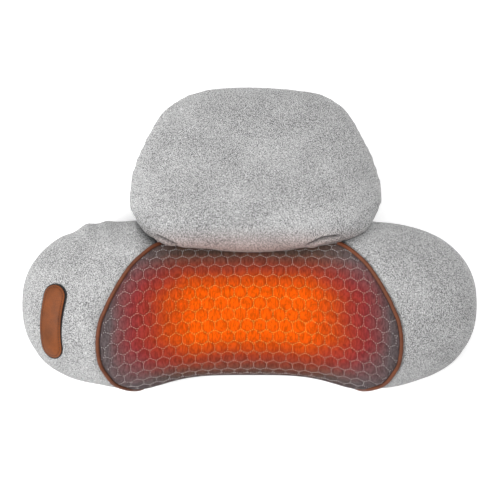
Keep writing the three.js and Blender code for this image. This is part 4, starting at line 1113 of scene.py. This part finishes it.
def lip_drop(p):
    """The cushion's filled lower lip hangs a little over the panel, more on the left."""
    drop = 3.0 - 1.7 * np.clip((p[:, 0] + 10) / 60, -1.2, 0.6)
    return -drop * (1 - smoothstep((p[:, 1] - 52) / 26)) * (1 - smoothstep((np.abs(p[:, 0] + 3) - 66) / 20))


def corner_fold(p, line):
    """A sharp crease in the cloth along a line seen from the front, with a raised lip on its lower side. The
    groove it also gives is used as painted shade.
    """
    gap = np.linalg.norm(p[:, None, :2] - line[None], axis=2)
    near = gap.argmin(1)
    gap = gap[np.arange(len(p)), near]
    along = near / (len(line) - 1)
    tangent = unit(np.gradient(line, axis=0))
    off = p[:, :2] - line[near]
    below = off[:, 0] * tangent[near, 1] - off[:, 1] * tangent[near, 0]
    ends = np.clip(np.sin(np.pi * along) * 2.2, 0, 1)
    groove = ends * bell(gap, 0, 1.1)
    lip = ends * bell(below, 3.2, 1.8) * bell(gap, 0, 7)
    return 1.8 * lip - 3.2 * groove, groove


WEB_HALF, WEB_RIGID_Z, WEB_BENT_Z = 87.0, 83.5, 90.5
WEB_HEAD_Y, WEB_HEAD_BOW, WEB_HEAD_RISE = 58.5, 8.0, 1.5
WEB_BELLY, WEB_THICKNESS, WEB_SWELL = 1.6, 1.6, 1.2


def crease_web():
    """The gusset between the bolster's crease and the cushion. Its foot stands on the bolster, its head is
    sewn inside the cushion's lip, and it bellies out between the two."""
    cols, rows = 90, 26
    xs = np.linspace(-WEB_HALF, WEB_HALF, cols)
    foot = bolster(xs, crease_turn(xs) - 0.01)
    head_y = WEB_HEAD_Y + WEB_HEAD_BOW * (xs / CREASE_HALF) ** 2
    head = np.stack([xs, head_y, np.full(cols, WEB_BENT_Z + WEB_HEAD_RISE)], 1)
    up = np.linspace(0, 1, rows)[:, None]
    p = foot + (head - foot) * up[..., None]
    belly = np.sin(np.pi * up) ** 0.8
    p[..., 1] -= belly * (WEB_BELLY + 0.25 * np.sin(xs * 0.42 + 1.3 * np.sin(xs * 0.09)))
    back = p.copy()
    back[..., 1] += WEB_THICKNESS + WEB_SWELL * belly
    obj = shell("crease_web_fabric", p, back)
    obj.data.materials.append(CUSHION_FABRIC)
    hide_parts("cushion_hinge_strip")
    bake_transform(obj)


# ---------------------------------------------------------------- control button
BUTTON_CENTRE = (-186.5, -13.5)
BUTTON_TILT = 0.45
BUTTON_ACROSS = np.array([math.cos(BUTTON_TILT), 0, math.sin(BUTTON_TILT)])
BUTTON_NORMAL = np.array([-math.sin(BUTTON_TILT), 0, math.cos(BUTTON_TILT)])
BUTTON_LINE = [(3.8, 23.6), (0.3, 6.0), (-1.7, -9.0), (-2.8, -23.9)]
BUTTON_HALF = 11.0
BUTTON_POINTS = 120
# The profiles' points are their distance outside the outline and their height above the wing.
PAD_PROFILE = [(-9.4, -0.2), (-5.4, -0.2), (-1.6, -0.2), (-0.1, -0.2), (0.0, 1.1), (-0.15, 1.9), (-0.6, 2.4),
               (-1.2, 2.6), (-1.6, 2.6), (-1.9, 2.3), (-2.2, 2.3), (-2.5, 2.6), (-3.4, 2.72), (-5.0, 2.78),
               (-7.2, 2.82), (-9.4, 2.84)]
RIM_PROFILE = [(0.35, -1.9), (0.35, 0.7), (0.5, 0.95), (0.8, 0.95), (1.05, 0.6), (1.05, -4.0), (0.35, -4.0)]
TRAY_HOLE_GROW = 0.7
PAD_SEAM_INSET, PAD_SEAM_HEIGHT = 2.05, 2.45
PAD_STITCHES, PAD_STITCH_RADIUS = 62, 0.3
PAD_WALL_SLOPE = 0.3


def end_arc(centre, along, radius):
    """The half circle that closes the button's outline at a centre, bulging along a direction."""
    turn = math.atan2(along[1], along[0])
    turns = turn + np.linspace(-math.pi / 2, math.pi / 2, 16)[1:-1]
    return centre + radius * np.stack([np.cos(turns), np.sin(turns)], 1)


def button_outline(grow, count=BUTTON_POINTS):
    """The button's bent slot shape in its own plane, grown outward."""
    line = smooth_line(BUTTON_LINE, 10)
    tangent = unit(np.gradient(line, axis=0))
    radius = BUTTON_HALF + grow
    side = radius * np.stack([tangent[:, 1], -tangent[:, 0]], 1)
    low = end_arc(line[-1], tangent[-1], radius)
    top = end_arc(line[0], -tangent[0], radius)
    return resample_closed(np.vstack([line + side, low, (line - side)[::-1], top]), count)


def wing_height(x, y):
    """The height of the bolster's upper half."""
    y0, half, rise, _ = section(x)
    across = np.clip(np.abs(y - y0) / half, 0, 1)
    return MIDDLE_Z + rise * (1 - across ** UPPER_POWER) ** (1 / UPPER_POWER)


def on_wing(loop, height):
    """A loop in the button's plane, dropped on the wing along the button's axis and lifted by height."""
    origin = np.array([*BUTTON_CENTRE, wing_height(*BUTTON_CENTRE)])
    start = origin + loop[:, :1] * BUTTON_ACROSS + loop[:, 1:] * np.array([0, 1.0, 0])
    reach = np.zeros(len(loop))
    for _ in range(12):
        p = start + reach[:, None] * BUTTON_NORMAL
        reach += (wing_height(p[:, 0], p[:, 1]) - p[:, 2]) * 0.8
    return start + (reach + height)[:, None] * BUTTON_NORMAL


def paint_pad_wall_shade(obj):
    """Gives the pad's side wall the black plastic, as painted shade along the wall."""
    obj.data.materials.append(BLACK)
    for face in obj.data.polygons:
        face.material_index = int(face.normal.dot(Vector(BUTTON_NORMAL)) < PAD_WALL_SLOPE)


def end_strips(first, top):
    """Quads across one end ring of the pad, from its topmost point down both sides."""
    return [[first + (top + j) % BUTTON_POINTS, first + (top + j + 1) % BUTTON_POINTS,
             first + (top - j - 1) % BUTTON_POINTS, first + (top - j) % BUTTON_POINTS]
            for j in range(BUTTON_POINTS // 2)]


def button_rings(profile):
    """The points and the quads of a profile carried round the button."""
    verts = np.vstack([on_wing(button_outline(grow), height) for grow, height in profile])
    return verts, grid_faces(len(profile), BUTTON_POINTS, wrap=True)


def button_pad():
    verts, faces = button_rings(PAD_PROFILE)
    top = int(button_outline(PAD_PROFILE[-1][0])[:, 1].argmax())
    faces += end_strips(0, top) + end_strips(len(verts) - BUTTON_POINTS, top)
    pad = new_solid("button_leather_pad", verts, faces)
    finish_piece(pad, "button", PAD_LEATHER, ["button_cap"])
    paint_pad_wall_shade(pad)


def button_seam():
    """The pad's stitching, three fifths thread and two fifths gap."""
    points = on_wing(button_outline(-PAD_SEAM_INSET, 5 * PAD_STITCHES), PAD_SEAM_HEIGHT)
    normals = np.tile(BUTTON_NORMAL, (PAD_STITCHES, 1))
    seam = thread_beads("button_stitches", points[0::5], points[3::5], normals, PAD_STITCH_RADIUS)
    finish_piece(seam, "button", PAD_THREAD)


def tray_rim():
    verts, faces = button_rings(RIM_PROFILE)
    faces += rim_faces(range(len(verts) - BUTTON_POINTS, len(verts)), range(BUTTON_POINTS))
    rim = new_solid("button_tray_rim", verts, faces)
    finish_piece(rim, "bolster", BLACK, ["button_tray"])


# ---------------------------------------------------------------- build
slots = {subpart["node"]: subpart["material_slot"] for subpart in frame["record"]["subparts"]}
for node, obj in frame["nodes"].items():
    obj.data.materials.clear()
    obj.data.materials.append(SLOT_MATERIALS[slots[node]])

wing_skin(-1)
wing_skin(1)
top_band()
base_cover()
massage_panel()
quilt_stitches()
piping(-1)
piping(1)
head_cushion()
crease_web()
button_pad()
button_seam()
tray_rim()


# ---------------------------------------------------------------- floor, light and camera
FLOOR_HALF, FLOOR_Z = 6000, -0.4
WORLD_STRENGTH, FLOOR_GLOW = 0.52, 0.45
LIGHT_AIM = Vector((0, 0.05, 0))
FRAME_MM = 472.5
LENS_PLANE_Z = 0.06
CAMERA_PLACE = (0.0005, 0.0536, 11.0)
SENSOR_MM = 36


def area_light(name, place, size, power):
    light = bpy.data.lights.new(name, "AREA")
    light.shape = "DISK"
    light.size = size
    light.energy = power
    obj = bpy.data.objects.new(name, light)
    obj.location = place
    obj.rotation_euler = (LIGHT_AIM - obj.location).to_track_quat("-Z", "Y").to_euler()
    bpy.context.scene.collection.objects.link(obj)


def stage():
    """A pale floor under the object, an even white world and two soft lights."""
    corners = [(x, y, FLOOR_Z) for x, y in ((-1, -1), (1, -1), (1, 1), (-1, 1))]
    corners = np.array(corners) * (FLOOR_HALF, FLOOR_HALF, 1)
    floor = new_object("floor", corners, [(0, 1, 2, 3)], False)
    n = Nodes("pale_floor")
    tone = n.noise(n.place(), 3, 2, 0.5)
    n.set(Base_Color=n.mix(tone, (0.90, 0.90, 0.90), (0.92, 0.92, 0.92)), Roughness=0.9,
          Emission_Color=(1, 1, 1, 1), Emission_Strength=FLOOR_GLOW, Specular_IOR_Level=0.1)
    floor.data.materials.append(n.material)
    world = bpy.data.worlds.new("studio")
    world.use_nodes = True
    background = world.node_tree.nodes["Background"]
    background.inputs["Color"].default_value = (1, 1, 1, 1)
    background.inputs["Strength"].default_value = WORLD_STRENGTH
    bpy.context.scene.world = world
    area_light("key", (-1.7, -0.5, 2.1), size=1.3, power=50)
    area_light("top", (0.4, 0.8, 2.7), size=1.5, power=27)
    bpy.context.scene.view_settings.view_transform = "Standard"


def camera():
    """A long lens straight in front of the massage face. It sees FRAME_MM across at LENS_PLANE_Z."""
    data = bpy.data.cameras.new("camera")
    data.sensor_width = SENSOR_MM
    data.lens = SENSOR_MM * (CAMERA_PLACE[2] - LENS_PLANE_Z) / (FRAME_MM * MM)
    data.clip_end = 40
    obj = bpy.data.objects.new("camera", data)
    obj.location = CAMERA_PLACE
    bpy.context.scene.collection.objects.link(obj)
    bpy.context.scene.camera = obj


stage()
camera()

bpy.context.view_layer.update()
